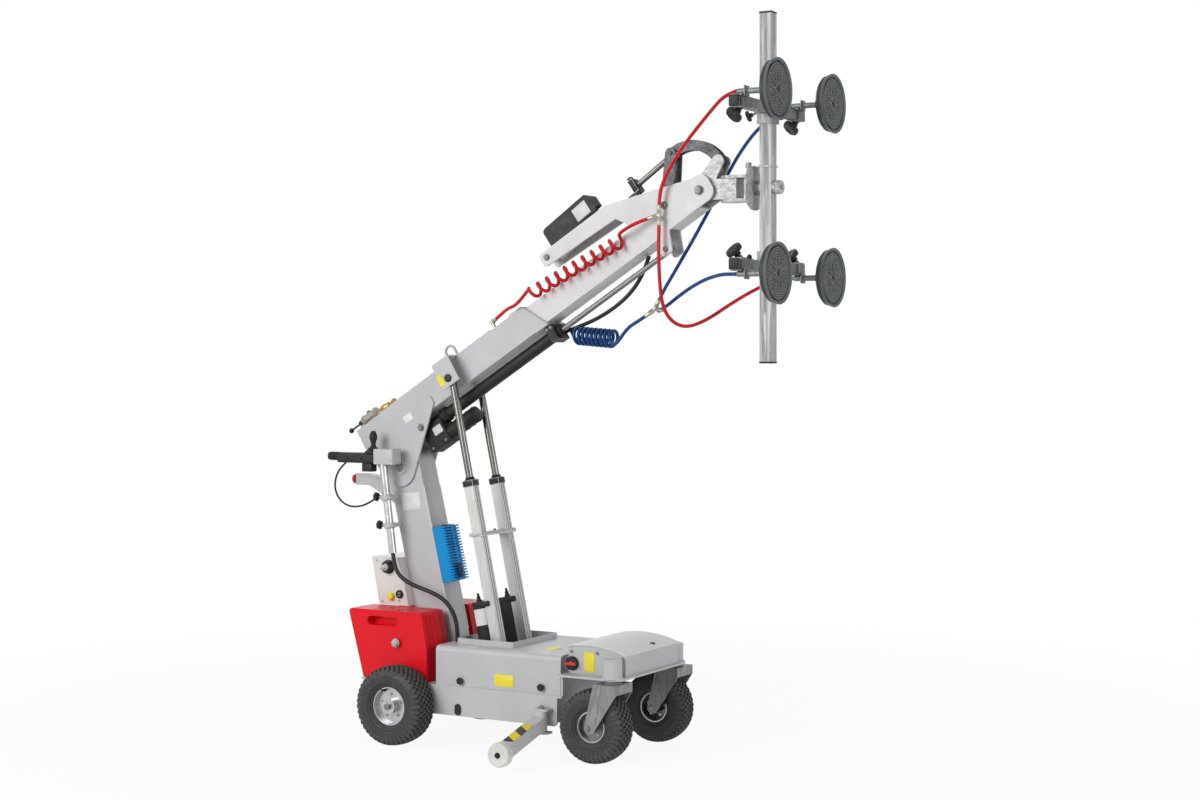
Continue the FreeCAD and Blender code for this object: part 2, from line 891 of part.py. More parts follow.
def axle_saddle(sign):
    y0 = sign * saddle_y - saddle_width / 2
    block = box(-saddle_half, saddle_half, y0, y0 + saddle_width, rear_radius, deck_top)
    return block.cut(cross_pin(V(0, 0, rear_radius), frame_half, axle_tube_radius + seat_gap))


def outrigger_bracket(sign):
    plates = []
    x0 = leg_pivot_x - leg_plate_half
    x1 = leg_pivot_x + leg_plate_half
    outer_y = leg_pivot_y + leg_plate_out
    top = leg_pivot_z + leg_hinge_height / 2
    low = leg_pivot_z - leg_hinge_height / 2
    for z0 in (top, low - leg_plate):
        pairs = [(x0, sign * frame_half), (x1, sign * frame_half), (x1, sign * outer_y),
                 (x0, sign * outer_y)]
        plates.append(floor_plate(pairs, [0, 0, leg_plate_out, leg_plate_out], z0, z0 + leg_plate))
    axis = V(leg_pivot_x, sign * leg_pivot_y, 0)
    plates.append(rod(axis + V(0, 0, low), axis + V(0, 0, top), leg_pin_radius))
    return plates


def lift_cheeks(sign):
    cheeks = []
    x0 = foot_x - foot_half
    x1 = foot_x + foot_half
    for inner, outward in ((lift_y - barrel_size / 2 - foot_side_gap, -1),
                           (lift_y + barrel_size / 2 + foot_side_gap, 1)):
        y0, y1 = sorted((sign * inner, sign * (inner + outward * foot_cheek)))
        cheeks.append(box(x0, x1, y0, y1, foot_low_z, deck_top))
        near = sign * (inner - outward * foot_pin_length)
        cheeks.append(rod(V(foot_x, sign * (inner + outward * foot_cheek), foot_z),
                          V(foot_x, near, foot_z), foot_pin_radius))
    return cheeks


def drive_axle():
    centre = V(0, 0, rear_radius)
    tubes = cross_pin(centre, axle_tube_end_y, axle_tube_radius)
    shaft = cross_pin(centre, rear_y + rear_width / 2 * rim_hub_share + axle_nut_reach, axle_radius)
    case = cross_pin(centre, gear_case_y, gear_case_half)
    motor = rod(centre, V(drive_motor_end_x, 0, rear_radius), drive_motor_radius)
    save("drive_axle", joined(case, tubes, shaft, motor))


def outriggers():
    direction = -1
    axis = V(leg_pivot_x, direction * leg_pivot_y, 0)
    half = leg_size / 2
    hinge = rod(axis + V(0, 0, leg_pivot_z - leg_hinge_height / 2 + seat_gap),
                axis + V(0, 0, leg_pivot_z + leg_hinge_height / 2 - seat_gap), leg_hinge_radius)
    tube_end = leg_reach - roller_width / 2 - leg_end_plate - seat_gap
    outline = []
    for reach, rise in ((leg_start, half), (tube_end, half), (tube_end, -half), (leg_start, -half)):
        outline.append(V(leg_pivot_x - half, direction * (leg_pivot_y + reach),
                         leg_pivot_z - leg_slope * reach + rise))
    tube = rounded_face(outline, 0).extrude(V(leg_size, 0, 0))
    end_y = direction * (leg_pivot_y + tube_end)
    roller_z = leg_pivot_z - leg_drop
    plate = box(leg_pivot_x - half, leg_pivot_x + half, end_y - leg_end_plate, end_y,
                roller_z - leg_end_rise, roller_z + leg_end_rise + roller_edge)
    roller_y = direction * (leg_pivot_y + leg_reach)
    outer_y = roller_y + direction * roller_width / 2
    pin = rod(V(leg_pivot_x, end_y, roller_z), V(leg_pivot_x, outer_y, roller_z), roller_pin_radius)
    bore = rod(axis, axis + V(0, 0, deck_top), leg_pin_radius + running_fit)
    leg = joined(hinge, tube, plate, pin).cut(bore)
    roller = rod(V(leg_pivot_x, roller_y - direction * roller_width / 2, roller_z),
                 V(leg_pivot_x, outer_y, roller_z), roller_radius)
    rims = [edge for edge in roller.Edges if edge.isClosed()]
    roller = roller.makeFillet(roller_edge, rims)
    roller = roller.cut(rod(V(leg_pivot_x, outer_y + direction * overrun, roller_z),
                            V(leg_pivot_x, end_y, roller_z), roller_pin_radius + running_fit))
    for side, leg_shape, roller_shape in (("right", leg, roller), ("left", mirrored(leg), mirrored(roller))):
        save("outrigger_leg_" + side, leg_shape)
        save("outrigger_roller_" + side, roller_shape)


def hood_cover():
    outer = box(hood_rear_x, hood_front_x, -hood_half, hood_half, deck_top, hood_top_z)
    long_edges = []
    for edge in outer.Edges:
        low = edge.BoundBox
        if low.XLength > low.YLength and low.XLength > low.ZLength and low.ZMin > deck_top:
            long_edges.append(edge)
    outer = outer.makeFillet(hood_edge, long_edges)
    inner = box(hood_rear_x + hood_sheet, hood_front_x + overrun, -hood_half + hood_sheet,
                hood_half - hood_sheet, deck_top - overrun, hood_top_z - hood_sheet)
    long_edges = []
    for edge in inner.Edges:
        low = edge.BoundBox
        if low.XLength > low.YLength and low.XLength > low.ZLength and low.ZMin > deck_top:
            long_edges.append(edge)
    inner = inner.makeFillet(hood_edge - hood_sheet, long_edges)
    lip_half = bay_half + hood_sheet
    lip = box(bay_rear_x - hood_sheet, bay_front_x + hood_sheet, -lip_half, lip_half,
              hood_top_z - hood_sheet, hood_top_z + lip_height)
    bay = box(bay_rear_x, bay_front_x, -bay_half, bay_half, deck_top, hood_top_z + lip_height + overrun)
    save("hood_cover", joined(outer.cut(inner), lip).cut(bay))


def module_top(offset):
    """Points of the arched top line of the front housing, raised by an offset."""
    middle_at = module_rear_x + (module_front_x - module_rear_x) * module_crown_share
    return (V(module_rear_x, 0, module_rear_z + offset), V(middle_at, 0, module_crown_z + offset),
            V(module_front_x, 0, module_front_z + offset))


def front_housing():
    floor_z = flange_low_z + flange_thick
    rear, crown, front = module_top(0)
    arch = Part.Arc(rear, crown, front).toShape()
    low_front = V(module_front_x, 0, floor_z)
    low_rear = V(module_rear_x, 0, floor_z)
    edges = [arch, Part.makeLine(front, low_front), Part.makeLine(low_front, low_rear),
             Part.makeLine(low_rear, rear)]
    wall = Part.Face(Part.Wire(edges)).extrude(V(0, module_sheet, 0))
    wall.translate(V(0, module_half - module_sheet, 0))
    nose = box(module_front_x - module_sheet, module_front_x, -module_half + module_sheet,
               module_half - module_sheet, floor_z, module_front_z)
    back = box(module_rear_x, module_rear_x + module_sheet, -module_half + module_sheet,
               module_half - module_sheet, floor_z, module_rear_z)
    seat = rod(V(switch_x, -module_half, switch_z), V(switch_x, -module_half - switch_stand_off, switch_z),
               switch_shaft_radius)
    right = joined(mirrored(wall), seat)
    save("front_housing", wall, right, nose, back)


def front_lid():
    rear, crown, front = module_top(0)
    under = Part.Arc(rear, crown, front).toShape()
    high_rear, high_crown, high_front = module_top(module_sheet)
    over = Part.Arc(high_rear, high_crown, high_front).toShape()
    nose_low = V(module_front_x + lid_over, 0, front.z)
    nose_top = V(module_front_x + lid_over, 0, high_front.z)
    edges = [under, Part.makeLine(front, nose_low), Part.makeLine(nose_low, nose_top),
             Part.makeLine(nose_top, high_front), over, Part.makeLine(high_rear, rear)]
    lid = Part.Face(Part.Wire(edges)).extrude(V(0, 2 * (module_half + lid_over), 0))
    lid.translate(V(0, -module_half - lid_over, 0))
    save("front_lid", lid)


def main_switch_key():
    face_y = -module_half - switch_stand_off - seat_gap
    key = box(switch_x - switch_key_length / 2, switch_x + switch_key_length / 2,
              face_y - switch_key_depth, face_y, switch_z - switch_key_height / 2,
              switch_z + switch_key_height / 2)
    save("main_switch_key", key)


def counterweights():
    """A block each side of the column, with a groove at every joint between its plates."""
    step = (weight_outer_y - weight_inner_y) / weight_count
    outline = [(weight_rear_low_x, deck_top), (weight_front_x, deck_top),
               (weight_front_x, weight_shoulder_z), (weight_front_top_x, weight_top_z),
               (weight_rear_top_x, weight_top_z)]
    groove = weight_groove
    core = [(weight_rear_low_x + groove, deck_top), (weight_front_x - groove, deck_top),
            (weight_front_x - groove, weight_shoulder_z),
            (weight_front_top_x - groove, weight_top_z - groove),
            (weight_rear_top_x + groove, weight_top_z - groove)]
    corners = [0, 0, weight_corner, weight_corner, weight_corner]
    plates = []
    for i in range(weight_count):
        y0 = weight_inner_y + i * step
        plates.append(slab(outline, corners, y0, y0 + step - groove))
    outer_face = weight_outer_y - groove
    block = joined(slab(core, corners, weight_inner_y, outer_face), *plates)
    end = slot_height / 2
    slot = [(slot_x - slot_length / 2, slot_z - end), (slot_x + slot_length / 2, slot_z - end),
            (slot_x + slot_length / 2, slot_z + end), (slot_x - slot_length / 2, slot_z + end)]
    block = block.cut(slab(slot, end - seat_gap, weight_inner_y - overrun, weight_outer_y + overrun))
    face = V(weight_bolt_x, outer_face, weight_bolt_z)
    washer = rod(face, face + V(0, weight_washer, 0), weight_washer_radius)
    nut = rod(face, face + V(0, weight_washer + weight_nut, 0), weight_bolt_radius)
    save("counterweights", *both_sides(block), *both_sides(joined(washer, nut)))


def column_x(z, side):
    """Place of the column's rear (-1) or front (1) face at a height."""
    return column_foot_x + column_lean * (z - deck_top) + side * column_depth / 2


def column():
    top_z = pivot_z + column_top_rise
    outline = [(column_x(deck_top, -1), deck_top), (column_x(deck_top, 1), deck_top),
               (column_x(top_z, 1), top_z), (column_x(top_z, -1), top_z)]
    corner = column_top_corner
    post = slab(outline, [0, 0, corner, corner], -column_half, column_half)
    roof = pivot_z - column_solid_top
    hollow = [(column_x(0, -1) + column_wall, 0), (column_x(0, 1) - column_wall, 0),
              (column_x(roof, 1) - column_wall, roof), (column_x(roof, -1) + column_wall, roof)]
    post = post.cut(slab(hollow, 0, -column_half + column_wall, column_half - column_wall))
    pieces = [estop_bracket()]
    for share in lug_shares:
        pieces += pole_lug(pole_top + (pole_low - pole_top) * share)
    post = joined(post, *pieces)
    pole_bore = rod(pole_low - pole_dir * pole_radius, pole_top, pole_radius + running_fit)
    post = post.cut(pole_bore)
    post = post.cut(cross_pin(pivot, column_half + overrun, pivot_pin_radius + running_fit))
    stem = rod(V(estop_x - overrun, estop_y, estop_z), V(estop_x + estop_stem, estop_y, estop_z),
               estop_stem_radius + running_fit)
    save("column", post.cut(stem))


def estop_bracket():
    low_z = estop_z - bracket_rise
    top_z = estop_z + bracket_rise
    foot_low_x = column_x(bracket_foot_low_z, -1) + column_wall / 2
    foot_top_x = column_x(bracket_foot_top_z, -1) + column_wall / 2
    outline = [(estop_x, low_z), (bracket_bend_x, low_z), (foot_low_x, bracket_foot_low_z),
               (foot_top_x, bracket_foot_top_z), (bracket_bend_x, top_z), (estop_x, top_z)]
    return slab(outline, 0, estop_y - bracket_half, estop_y + bracket_half)


def pole_lug(centre):
    reach = pole_dir * (lug_height / 2)
    collar = rod(centre - reach, centre + reach, lug_radius)
    arm = box(centre.x - lug_arm, centre.x + lug_arm, centre.y, -column_half + column_wall / 2,
              centre.z - lug_height / 2, centre.z + lug_height / 2)
    return [collar, arm]


def estop_button():
    tip = V(estop_x - estop_cap_depth - seat_gap, estop_y, estop_z)
    seat = V(estop_x - seat_gap - estop_cap_depth / 2, estop_y, estop_z)
    cap = rod(tip, seat, estop_cap_radius)
    rims = [edge for edge in cap.Edges if edge.isClosed() and edge.BoundBox.XMax < seat.x - seat_gap]
    cap = cap.makeFillet(estop_cap_depth / 4, rims)
    stem = rod(seat, V(estop_x + estop_stem / 2, estop_y, estop_z), estop_stem_radius)
    save("estop_button", joined(cap, stem))


def control_panel():
    outline = [(panel_rear_low_x, panel_low_z), (column_x(panel_low_z, -1), panel_low_z),
               (column_x(panel_top_z, -1), panel_top_z), (panel_rear_top_x, panel_top_z)]
    save("control_panel", slab(outline, [panel_corner, 0, 0, panel_corner], -panel_half, panel_half))


def charger():
    half = charger_length / 2
    width = charger_width / 2
    body = box(0, charger_base, charger_y - width, charger_y + width, -half, half)
    pitch = charger_length / charger_fin_count
    fins = []
    for i in range(charger_fin_count):
        z0 = -half + pitch * (i + (1 - charger_fin_share) / 2)
        fins.append(box(0, charger_base + charger_fin, charger_y - width, charger_y + width,
                        z0, z0 + pitch * charger_fin_share))
    spine = box(0, charger_base + charger_fin, charger_y - column_wall, charger_y + column_wall, -half, half)
    unit = joined(body, spine, *fins)
    unit.rotate(V(0, 0, 0), V(0, 1, 0), math.degrees(math.atan(column_lean)))
    unit.translate(V(column_x(charger_z, 1), 0, charger_z))
    save("charger", unit)


# Controls
def controls():
    tube = rod(pole_low, pole_top, pole_radius)
    head = box(head_box_rear_x, head_box_front_x, pole_y - head_box_half, pole_y + head_box_half,
               pole_top_z, pole_top_z + head_box_height)
    upright = [edge for edge in head.Edges if edge.BoundBox.ZLength > head_box_half]
    tube = tube.cut(seat_of(*conduit_route[:2], conduit_size))
    save("control_pole", joined(tube, head.makeFillet(head_box_edge, upright)))
    front_x = head_box_rear_x - handle_gap
    top_z = handle_low_z + handle_height
    body = box(handle_rear_x, front_x, pole_y - handle_half, pole_y + handle_half, handle_low_z, top_z)
    lengthwise = [edge for edge in body.Edges if edge.BoundBox.XLength > handle_half]
    body = body.makeFillet(handle_edge, lengthwise)
    grip = rod(V(grip_end_x, pole_y, grip_z), V(handle_rear_x + handle_edge, pole_y, grip_z), grip_radius)
    base = V(stick_x, pole_y, top_z)
    bellows = Part.makeCone(bellows_radius, bellows_top_radius, bellows_height + handle_edge,
                            base - V(0, 0, handle_edge))
    body = body.cut(seat_of(*stick_cable_route[:2], stick_cable_size))
    save("control_handle", joined(body, grip, bellows))
    ball_at = base + V(0, 0, bellows_height + seat_gap + stick_ball_radius)
    tip = base + V(0, 0, bellows_height + stick_height)
    pin_reach = V(0, stick_ball_radius + stick_pin_over, 0)
    stick = joined(Part.makeSphere(stick_ball_radius, ball_at), rod(ball_at, tip, stick_radius),
                   Part.makeSphere(stick_knob_radius, tip),
                   rod(ball_at - pin_reach, ball_at + pin_reach, stick_pin_radius))
    save("joystick", stick)
    conduit = cord("conduit", conduit_route, conduit_size)
    lead = cord("stick cable", stick_cable_route, stick_cable_size)
    save("control_cables", conduit, lead)


# Boom
def outer_boom():
    half = outer_half
    nose = [(outer_rear_s, -half), (outer_front_s + outer_cut, -half), (outer_front_s, half),
            (outer_rear_s, half)]
    tube = boom_slab(nose, 0, -half, half)
    inside = half - outer_wall
    tube = tube.cut(boom_box(outer_rear_s + outer_wall, outer_front_s + outer_cut + overrun, -inside, inside,
                             -inside, inside))
    plate = gusset()
    saddle_s0 = lift_s - saddle_length / 2
    saddle_s1 = lift_s + saddle_length / 2
    side = saddle_side_y + saddle_sheet
    roof = boom_box(saddle_s0, saddle_s1, -side, side, half, half + saddle_sheet)
    cheek = boom_box(saddle_s0, saddle_s1, saddle_side_y, side, saddle_low_t, half)
    pin = rod(boom_point(lift_s, half, lift_t), boom_point(lift_s, saddle_side_y, lift_t), lift_pin_radius)
    rails = []
    for y in (-rail_y, rail_y):
        rail = boom_rod(rail_rear_s, rail_front_s, y, rail_t - outer_wall / 2, rail_radius)
        rails.append(rail.cut(tube).cut(roof))
    plates = both_sides(plate) + [roof] + both_sides(cheek)
    inner_pads = slide_pads(outer_front_s - pad_length, inner_half + seat_gap, inside)
    pins = both_sides(pin) + [pivot_pin(), drive_pin()]
    save("outer_boom", tube, *plates, *pins, *rails, collar(), *inner_pads)


def gusset():
    outline = [(gusset_rear_s, gusset_top_t), (gusset_front_s, gusset_top_t),
               (gusset_front_s, gusset_top_t - gusset_nose), (gusset_low_s, gusset_low_t)]
    corners = [gusset_corner, gusset_corner, gusset_corner, gusset_round]
    plate = boom_slab(outline, corners, outer_half, outer_half + gusset_sheet)
    boss_y = outer_half + gusset_sheet + pivot_boss
    boss = rod(V(pivot.x, outer_half, pivot.z), V(pivot.x, boss_y, pivot.z), pivot_boss_radius)
    plate = joined(plate, boss)
    plate = plate.cut(cross_pin(pivot, boss_y + overrun, pivot_pin_radius + running_fit))
    pin_at = boom_point(drive_pin_s, 0, drive_t)
    return plate.cut(cross_pin(pin_at, boss_y + overrun, drive_pin_radius + running_fit))


def pivot_pin():
    return cross_pin(pivot, outer_half + gusset_sheet + pivot_boss, pivot_pin_radius)


def drive_pin():
    return cross_pin(boom_point(drive_pin_s, 0, drive_t), outer_half + gusset_sheet, drive_pin_radius)


def collar():
    outside = outer_half + collar_wall
    inside = outer_half + seat_gap
    outline = []
    for t in (-outside, outside):
        slant = outer_cut * (outer_half - t) / outer_size
        ends = [(outer_front_s + slant - collar_length, t), (outer_front_s + slant - collar_wall, t)]
        outline += ends if t < 0 else ends[::-1]
    sleeve = boom_slab(outline, 0, -outside, outside)
    return sleeve.cut(boom_box(outer_rear_s, outer_front_s + outer_size, -inside, inside, -inside, inside))


def slide_pads(s0, inside, outside):
    """Four flat bearing pads between the two boom tubes."""
    pads = []
    s1 = s0 + pad_length
    width = inside / 2
    for sign in (-1, 1):
        low, high = sorted((sign * inside, sign * outside))
        pads.append(boom_box(s0, s1, -width, width, low, high))
        pads.append(boom_box(s0, s1, low, high, -width, width))
    return pads


def lifting_hoop():
    half = hoop_width / 2
    seat_t = outer_half + saddle_sheet
    top_t = outer_half + saddle_sheet + hoop_height
    left = boom_point(hoop_s - half, 0, seat_t)
    right = boom_point(hoop_s + half, 0, seat_t)
    left_top = boom_point(hoop_s - half, 0, top_t - half)
    right_top = boom_point(hoop_s + half, 0, top_t - half)
    crown = boom_point(hoop_s, 0, top_t)
    path = Part.Wire([Part.makeLine(left, left_top), Part.Arc(left_top, crown, right_top).toShape(),
                      Part.makeLine(right_top, right)])
    section = Part.Wire(Part.makeCircle(hoop_wire, left, across))
    save("lifting_hoop", path.makePipeShell([section], True, False))


def inner_boom():
    half = inner_half
    outline = [(inner_rear_s, -half), (inner_front_s + inner_cut, -half), (inner_front_s, half),
               (inner_rear_s, half)]
    tube = boom_slab(outline, 0, -half, half)
    inside = half - inner_wall
    tube = tube.cut(boom_box(inner_rear_s - overrun, inner_front_s + inner_cut + overrun, -inside, inside,
                             -inside, inside))
    pads = slide_pads(inner_rear_s, half, outer_half - outer_wall - seat_gap)
    save("inner_boom", tube, *pads)


def telescope_drive():
    tube = boom_rod(drive_tube_rear_s, drive_tube_front_s, 0, drive_t, drive_tube_radius)
    eye = cross_pin(boom_point(drive_pin_s, 0, drive_t), drive_eye_half, drive_eye_radius)
    neck = boom_rod(drive_pin_s, drive_tube_rear_s + drive_eye_radius, 0, drive_t, drive_neck_radius)
    case = boom_box(drive_box_rear_s, drive_box_rear_s + drive_box_length, -drive_box_half, drive_box_half,
                    drive_box_low_t, drive_t)
    motor = boom_rod(drive_box_rear_s + drive_box_length / 2, drive_motor_front_s, 0, drive_motor_t,
                     drive_motor_tube_radius)
    clamp = boom_box(drive_clamp_s, drive_clamp_s + drive_clamp_length, -drive_clamp_half, drive_clamp_half,
                     drive_t - drive_tube_radius - drive_clamp_under, -outer_half - collar_wall - seat_gap)
    motor = motor.cut(case)
    hole = cross_pin(boom_point(drive_pin_s, 0, drive_t), outer_half, drive_pin_radius + running_fit)
    case = case.cut(tube).cut(neck).cut(eye).cut(hole)
    clamp = clamp.cut(tube).cut(seat_of(*boom_cable_route[:2], boom_cable_size))
    bore = boom_rod(drive_tube_rear_s + drive_eye_radius, drive_tube_front_s + overrun, 0, drive_t,
                    spindle_radius + running_fit)
    save("telescope_actuator", joined(tube, eye, neck).cut(bore).cut(hole), case, motor, clamp)
    screw = boom_rod(spindle_rear_s, spindle_eye_s, 0, drive_t, spindle_radius)
    end = boom_point(spindle_eye_s, 0, drive_t)
    knuckle_end = cross_pin(end, spindle_eye_half, spindle_eye_radius)
    screw = joined(screw, knuckle_end)
    save("telescope_spindle", screw.cut(cross_pin(end, cheek_outer, spindle_pin_radius + running_fit)))


def lift_actuators():
    length = (lift_foot - lift_top).Length
    rods = []
    barrels = []
    for sign in (-1, 1):
        top = V(lift_top.x, sign * lift_y, lift_top.z)
        eye = rod(top - V(0, lift_eye_half, 0), top + V(0, lift_eye_half, 0), lift_eye_radius)
        shaft = rod(top, top + lift_dir * (length - barrel_floor - rod_stroke), lift_rod_radius)
        hole = rod(top - V(0, lift_y, 0), top + V(0, lift_y, 0), lift_pin_radius + running_fit)
        rods.append(joined(eye, shaft).cut(hole))
        barrels += lift_barrel(top, length)
    save("lift_rods", *rods)
    middle = lift_top + lift_dir * tie_along
    reach = lift_y + barrel_size / 2 + tie_over
    depth = tie_depth / 2
    tie = box(middle.x - depth, middle.x + depth, -reach, reach, middle.z - tie_thick / 2,
              middle.z + tie_thick / 2)
    for sign in (-1, 1):
        tie = tie.cut(strut(lift_top, lift_dir, barrel_start, length, sign * lift_y, barrel_size))
    save("lift_barrels", *barrels, tie)


def lift_barrel(top, length):
    """One square barrel with its end cap, and the motor behind it."""
    body = strut(lift_top, lift_dir, barrel_start + barrel_cap, length + barrel_tail, top.y, barrel_size)
    cap = strut(lift_top, lift_dir, barrel_start, barrel_start + barrel_cap, top.y, barrel_cap_size)
    bore_end = top + lift_dir * (length - barrel_floor)
    bore = rod(top, bore_end, lift_rod_radius + running_fit)
    behind = V(lift_dir.z, 0, -lift_dir.x)
    shift = behind * (barrel_size / 2 + lift_motor_radius + seat_gap)
    start = top + lift_dir * lift_motor_along + shift
    motor = rod(start, start + lift_dir * lift_motor_length, lift_motor_radius)
    return [joined(body, cap).cut(bore), motor]


def head_outline():
    """Cheek outline along the boom: rear arm, throat, tube end, lobe, front and top."""
    slant = inner_cut / inner_size
    tube_top = inner_front_s + seat_gap
    points = [(cheek_arm_s, cheek_arm_low_t), (cheek_throat_s, cheek_throat_t),
              (tube_top, inner_half + seat_gap), (tube_top + slant * inner_size, -inner_half),
              (cheek_lobe_s - lever_tip_radius, cheek_lobe_t), (cheek_lobe_s + head_round / 2, cheek_lobe_t),
              (cheek_notch_s, cheek_low_t), (head_s, head_t - head_round),
              (head_s + head_round, head_t - head_round), (head_s + head_round, head_t + head_round),
              (head_s, cheek_front_top_t + seat_gap), (cheek_top_bend_s, cheek_arm_top_t),
              (cheek_arm_s, cheek_arm_top_t)]
    round_end = head_round - cheek_corner
    radii = [cheek_corner, cheek_corner, seat_gap, seat_gap, cheek_corner, cheek_corner, cheek_corner, 0,
             round_end, round_end, cheek_corner, cheek_corner, cheek_corner]
    return points, radii


def boom_head():
    points, radii = head_outline()
    cheek = boom_slab(points, radii, cheek_inner, cheek_outer)
    pieces = both_sides(cheek)
    for s, t, radius in ((head_s, head_t, head_pin_radius), (lever_s, lever_t, lever_pin_radius),
                         (tilt_rear_s, tilt_rear_t, tilt_pin_radius),
                         (spindle_eye_s, drive_t, spindle_pin_radius)):
        pieces.append(cross_pin(boom_point(s, 0, t), cheek_outer, radius))
    web = boom_box(cheek_notch_s + web_sheet, web_end_s, -cheek_outer + web_sheet, cheek_outer - web_sheet,
                   cheek_low_t, cheek_low_t + web_sheet)
    pieces.append(web)
    save("boom_head", joined(*pieces))


def tilt_linkage():
    tilt_unit()
    plate = bar_plate(lever_pivot, lever_top, lever_foot_radius, lever_tip_radius, lever_inner,
                      lever_inner + lever_plate)
    sleeve = cross_pin(lever_pivot, cheek_inner - seat_gap, lever_foot_radius - lever_plate)
    pin = cross_pin(lever_top, cheek_inner - seat_gap, link_pin_radius)
    lever = joined(sleeve, pin, *both_sides(plate))
    save("tilt_lever", lever.cut(cross_pin(lever_pivot, cheek_outer, lever_pin_radius + running_fit)))
    save("tilt_link", *both_sides(link_plate_shape()))


def bar_plate(start, end, start_radius, end_radius, y0, y1):
    """Flat bar with two round ends of different size."""
    run = V(end - start).normalize()
    side = V(-run.z, 0, run.x)
    corners = [start + side * start_radius, end + side * end_radius, end - side * end_radius,
               start - side * start_radius]
    face = rounded_face([p + V(0, y0, 0) for p in corners], 0)
    bar = face.extrude(V(0, y1 - y0, 0))
    lift = V(0, y0, 0)
    depth = V(0, y1 - y0, 0)
    return joined(bar, rod(start + lift, start + lift + depth, start_radius),
                  rod(end + lift, end + lift + depth, end_radius))


def link_plate_shape():
    """Bowed link with a running eye at the lever and an open eye at the knuckle."""
    run = ear - lever_top
    side = V(-run.z, 0, run.x).normalize()
    middle = (lever_top + ear) * 0.5 + side * link_bow
    half = link_width / 2
    lift = V(0, link_inner, 0)
    first = rounded_arc_band(lever_top + lift, middle + lift, ear + lift, half)
    depth = V(0, link_plate, 0)
    band = first.extrude(depth)
    ends = [rod(p + lift, p + lift + depth, half) for p in (lever_top, ear)]
    plate = joined(band, *ends)
    plate = plate.cut(cross_pin(lever_top, cheek_inner, link_pin_radius + running_fit))
    return plate.cut(cross_pin(ear, cheek_inner, link_open_radius))


def rounded_arc_band(start, middle, end, half):
    """Band of even width along an arc through three points in an XZ plane."""
    centre = Part.Arc(start, middle, end).toShape().Curve.Center
    radius = (start - centre).Length
    edges = []
    for reach in (radius + half, radius - half):
        ends = [centre + (p - centre).normalize() * reach for p in (start, middle, end)]
        edges.append(ends)
    outer, inner = edges
    wire = Part.Wire([Part.Arc(*outer).toShape(), Part.makeLine(outer[2], inner[2]),
                      Part.Arc(inner[2], inner[1], inner[0]).toShape(), Part.makeLine(inner[0], outer[0])])
    return Part.Face(wire)


def tilt_unit():
    body = strut(tilt_rear, tilt_dir, tilt_tube_start, tilt_tube_end, 0, tilt_tube_size)
    cap = strut(tilt_rear, tilt_dir, tilt_tube_end, tilt_tube_end + tilt_cap, 0, tilt_cap_size)
    eye = cross_pin(tilt_rear, tilt_eye_half, tilt_eye_radius)
    neck = rod(tilt_rear, tilt_rear + tilt_dir * (tilt_tube_start + tilt_cap), tilt_neck_radius)
    bore = rod(tilt_rear + tilt_dir * (tilt_tube_start + tilt_cap),
               tilt_rear + tilt_dir * (tilt_tube_end + tilt_cap + overrun), tilt_rod_radius + running_fit)
    unit = joined(body, cap, eye, neck).cut(bore)
    save("tilt_actuator", unit.cut(cross_pin(tilt_rear, cheek_outer, tilt_pin_radius + running_fit)))
    side = V(-tilt_dir.z, 0, tilt_dir.x)
    low = tilt_tube_size / 2 + seat_gap
    corners = []
    for d, rise in ((motor_start, low), (motor_start + motor_length, low),
                    (motor_start + motor_length, low + motor_height), (motor_start, low + motor_height)):
        corners.append(tilt_rear + tilt_dir * d + side * rise + V(0, -motor_half, 0))
    motor = rounded_face(corners, [0, 0, motor_edge, motor_edge]).extrude(V(0, 2 * motor_half, 0))
    save("tilt_motor", motor)
    reach = (lever_top - tilt_rear).Length
    shaft = rod(tilt_rear + tilt_dir * (reach - tilt_rod_tail), lever_top, tilt_rod_radius)
    eye = cross_pin(lever_top, rod_eye_half, rod_eye_radius)
    save("tilt_rod", joined(shaft, eye).cut(cross_pin(lever_top, cheek_outer, rod_eye_bore)))


def knuckle():
    top_z = rotor_z + block_half_height
    low_z = rotor_z - block_half_height
    block = box(block_rear_x, block_front_x, -knuckle_outer, knuckle_outer, low_z, top_z)
    outline = [V(head_pivot.x, knuckle_inner, low_z), V(block_front_x, knuckle_inner, low_z),
               V(block_front_x, knuckle_inner, top_z), V(head_pivot.x, knuckle_inner, top_z)]
    cheek = rounded_face(outline, 0).extrude(V(0, knuckle_outer - knuckle_inner, 0))
    hub = rod(V(head_pivot.x, knuckle_inner, head_pivot.z), V(head_pivot.x, knuckle_outer, head_pivot.z),
              knuckle_round)
    ear_bar = bar_plate(head_pivot, ear, knuckle_round - ear_pin_radius, ear_radius, knuckle_inner,
                        knuckle_outer)
    cheek = joined(cheek, hub, ear_bar)
    sleeve = cross_pin(head_pivot, cheek_inner - seat_gap, head_pin_radius + ear_pin_radius)
    pin = cross_pin(ear, knuckle_outer, ear_pin_radius)
    body = joined(block, sleeve, pin, *both_sides(cheek))
    body = body.cut(cross_pin(head_pivot, cheek_outer, head_pin_radius + running_fit))
    axis = V(swing_x, 0, 0)
    bore = rod(axis + V(0, 0, low_z - overrun), axis + V(0, 0, top_z + overrun),
               swing_pin_radius + running_fit)
    save("knuckle", body.cut(bore))


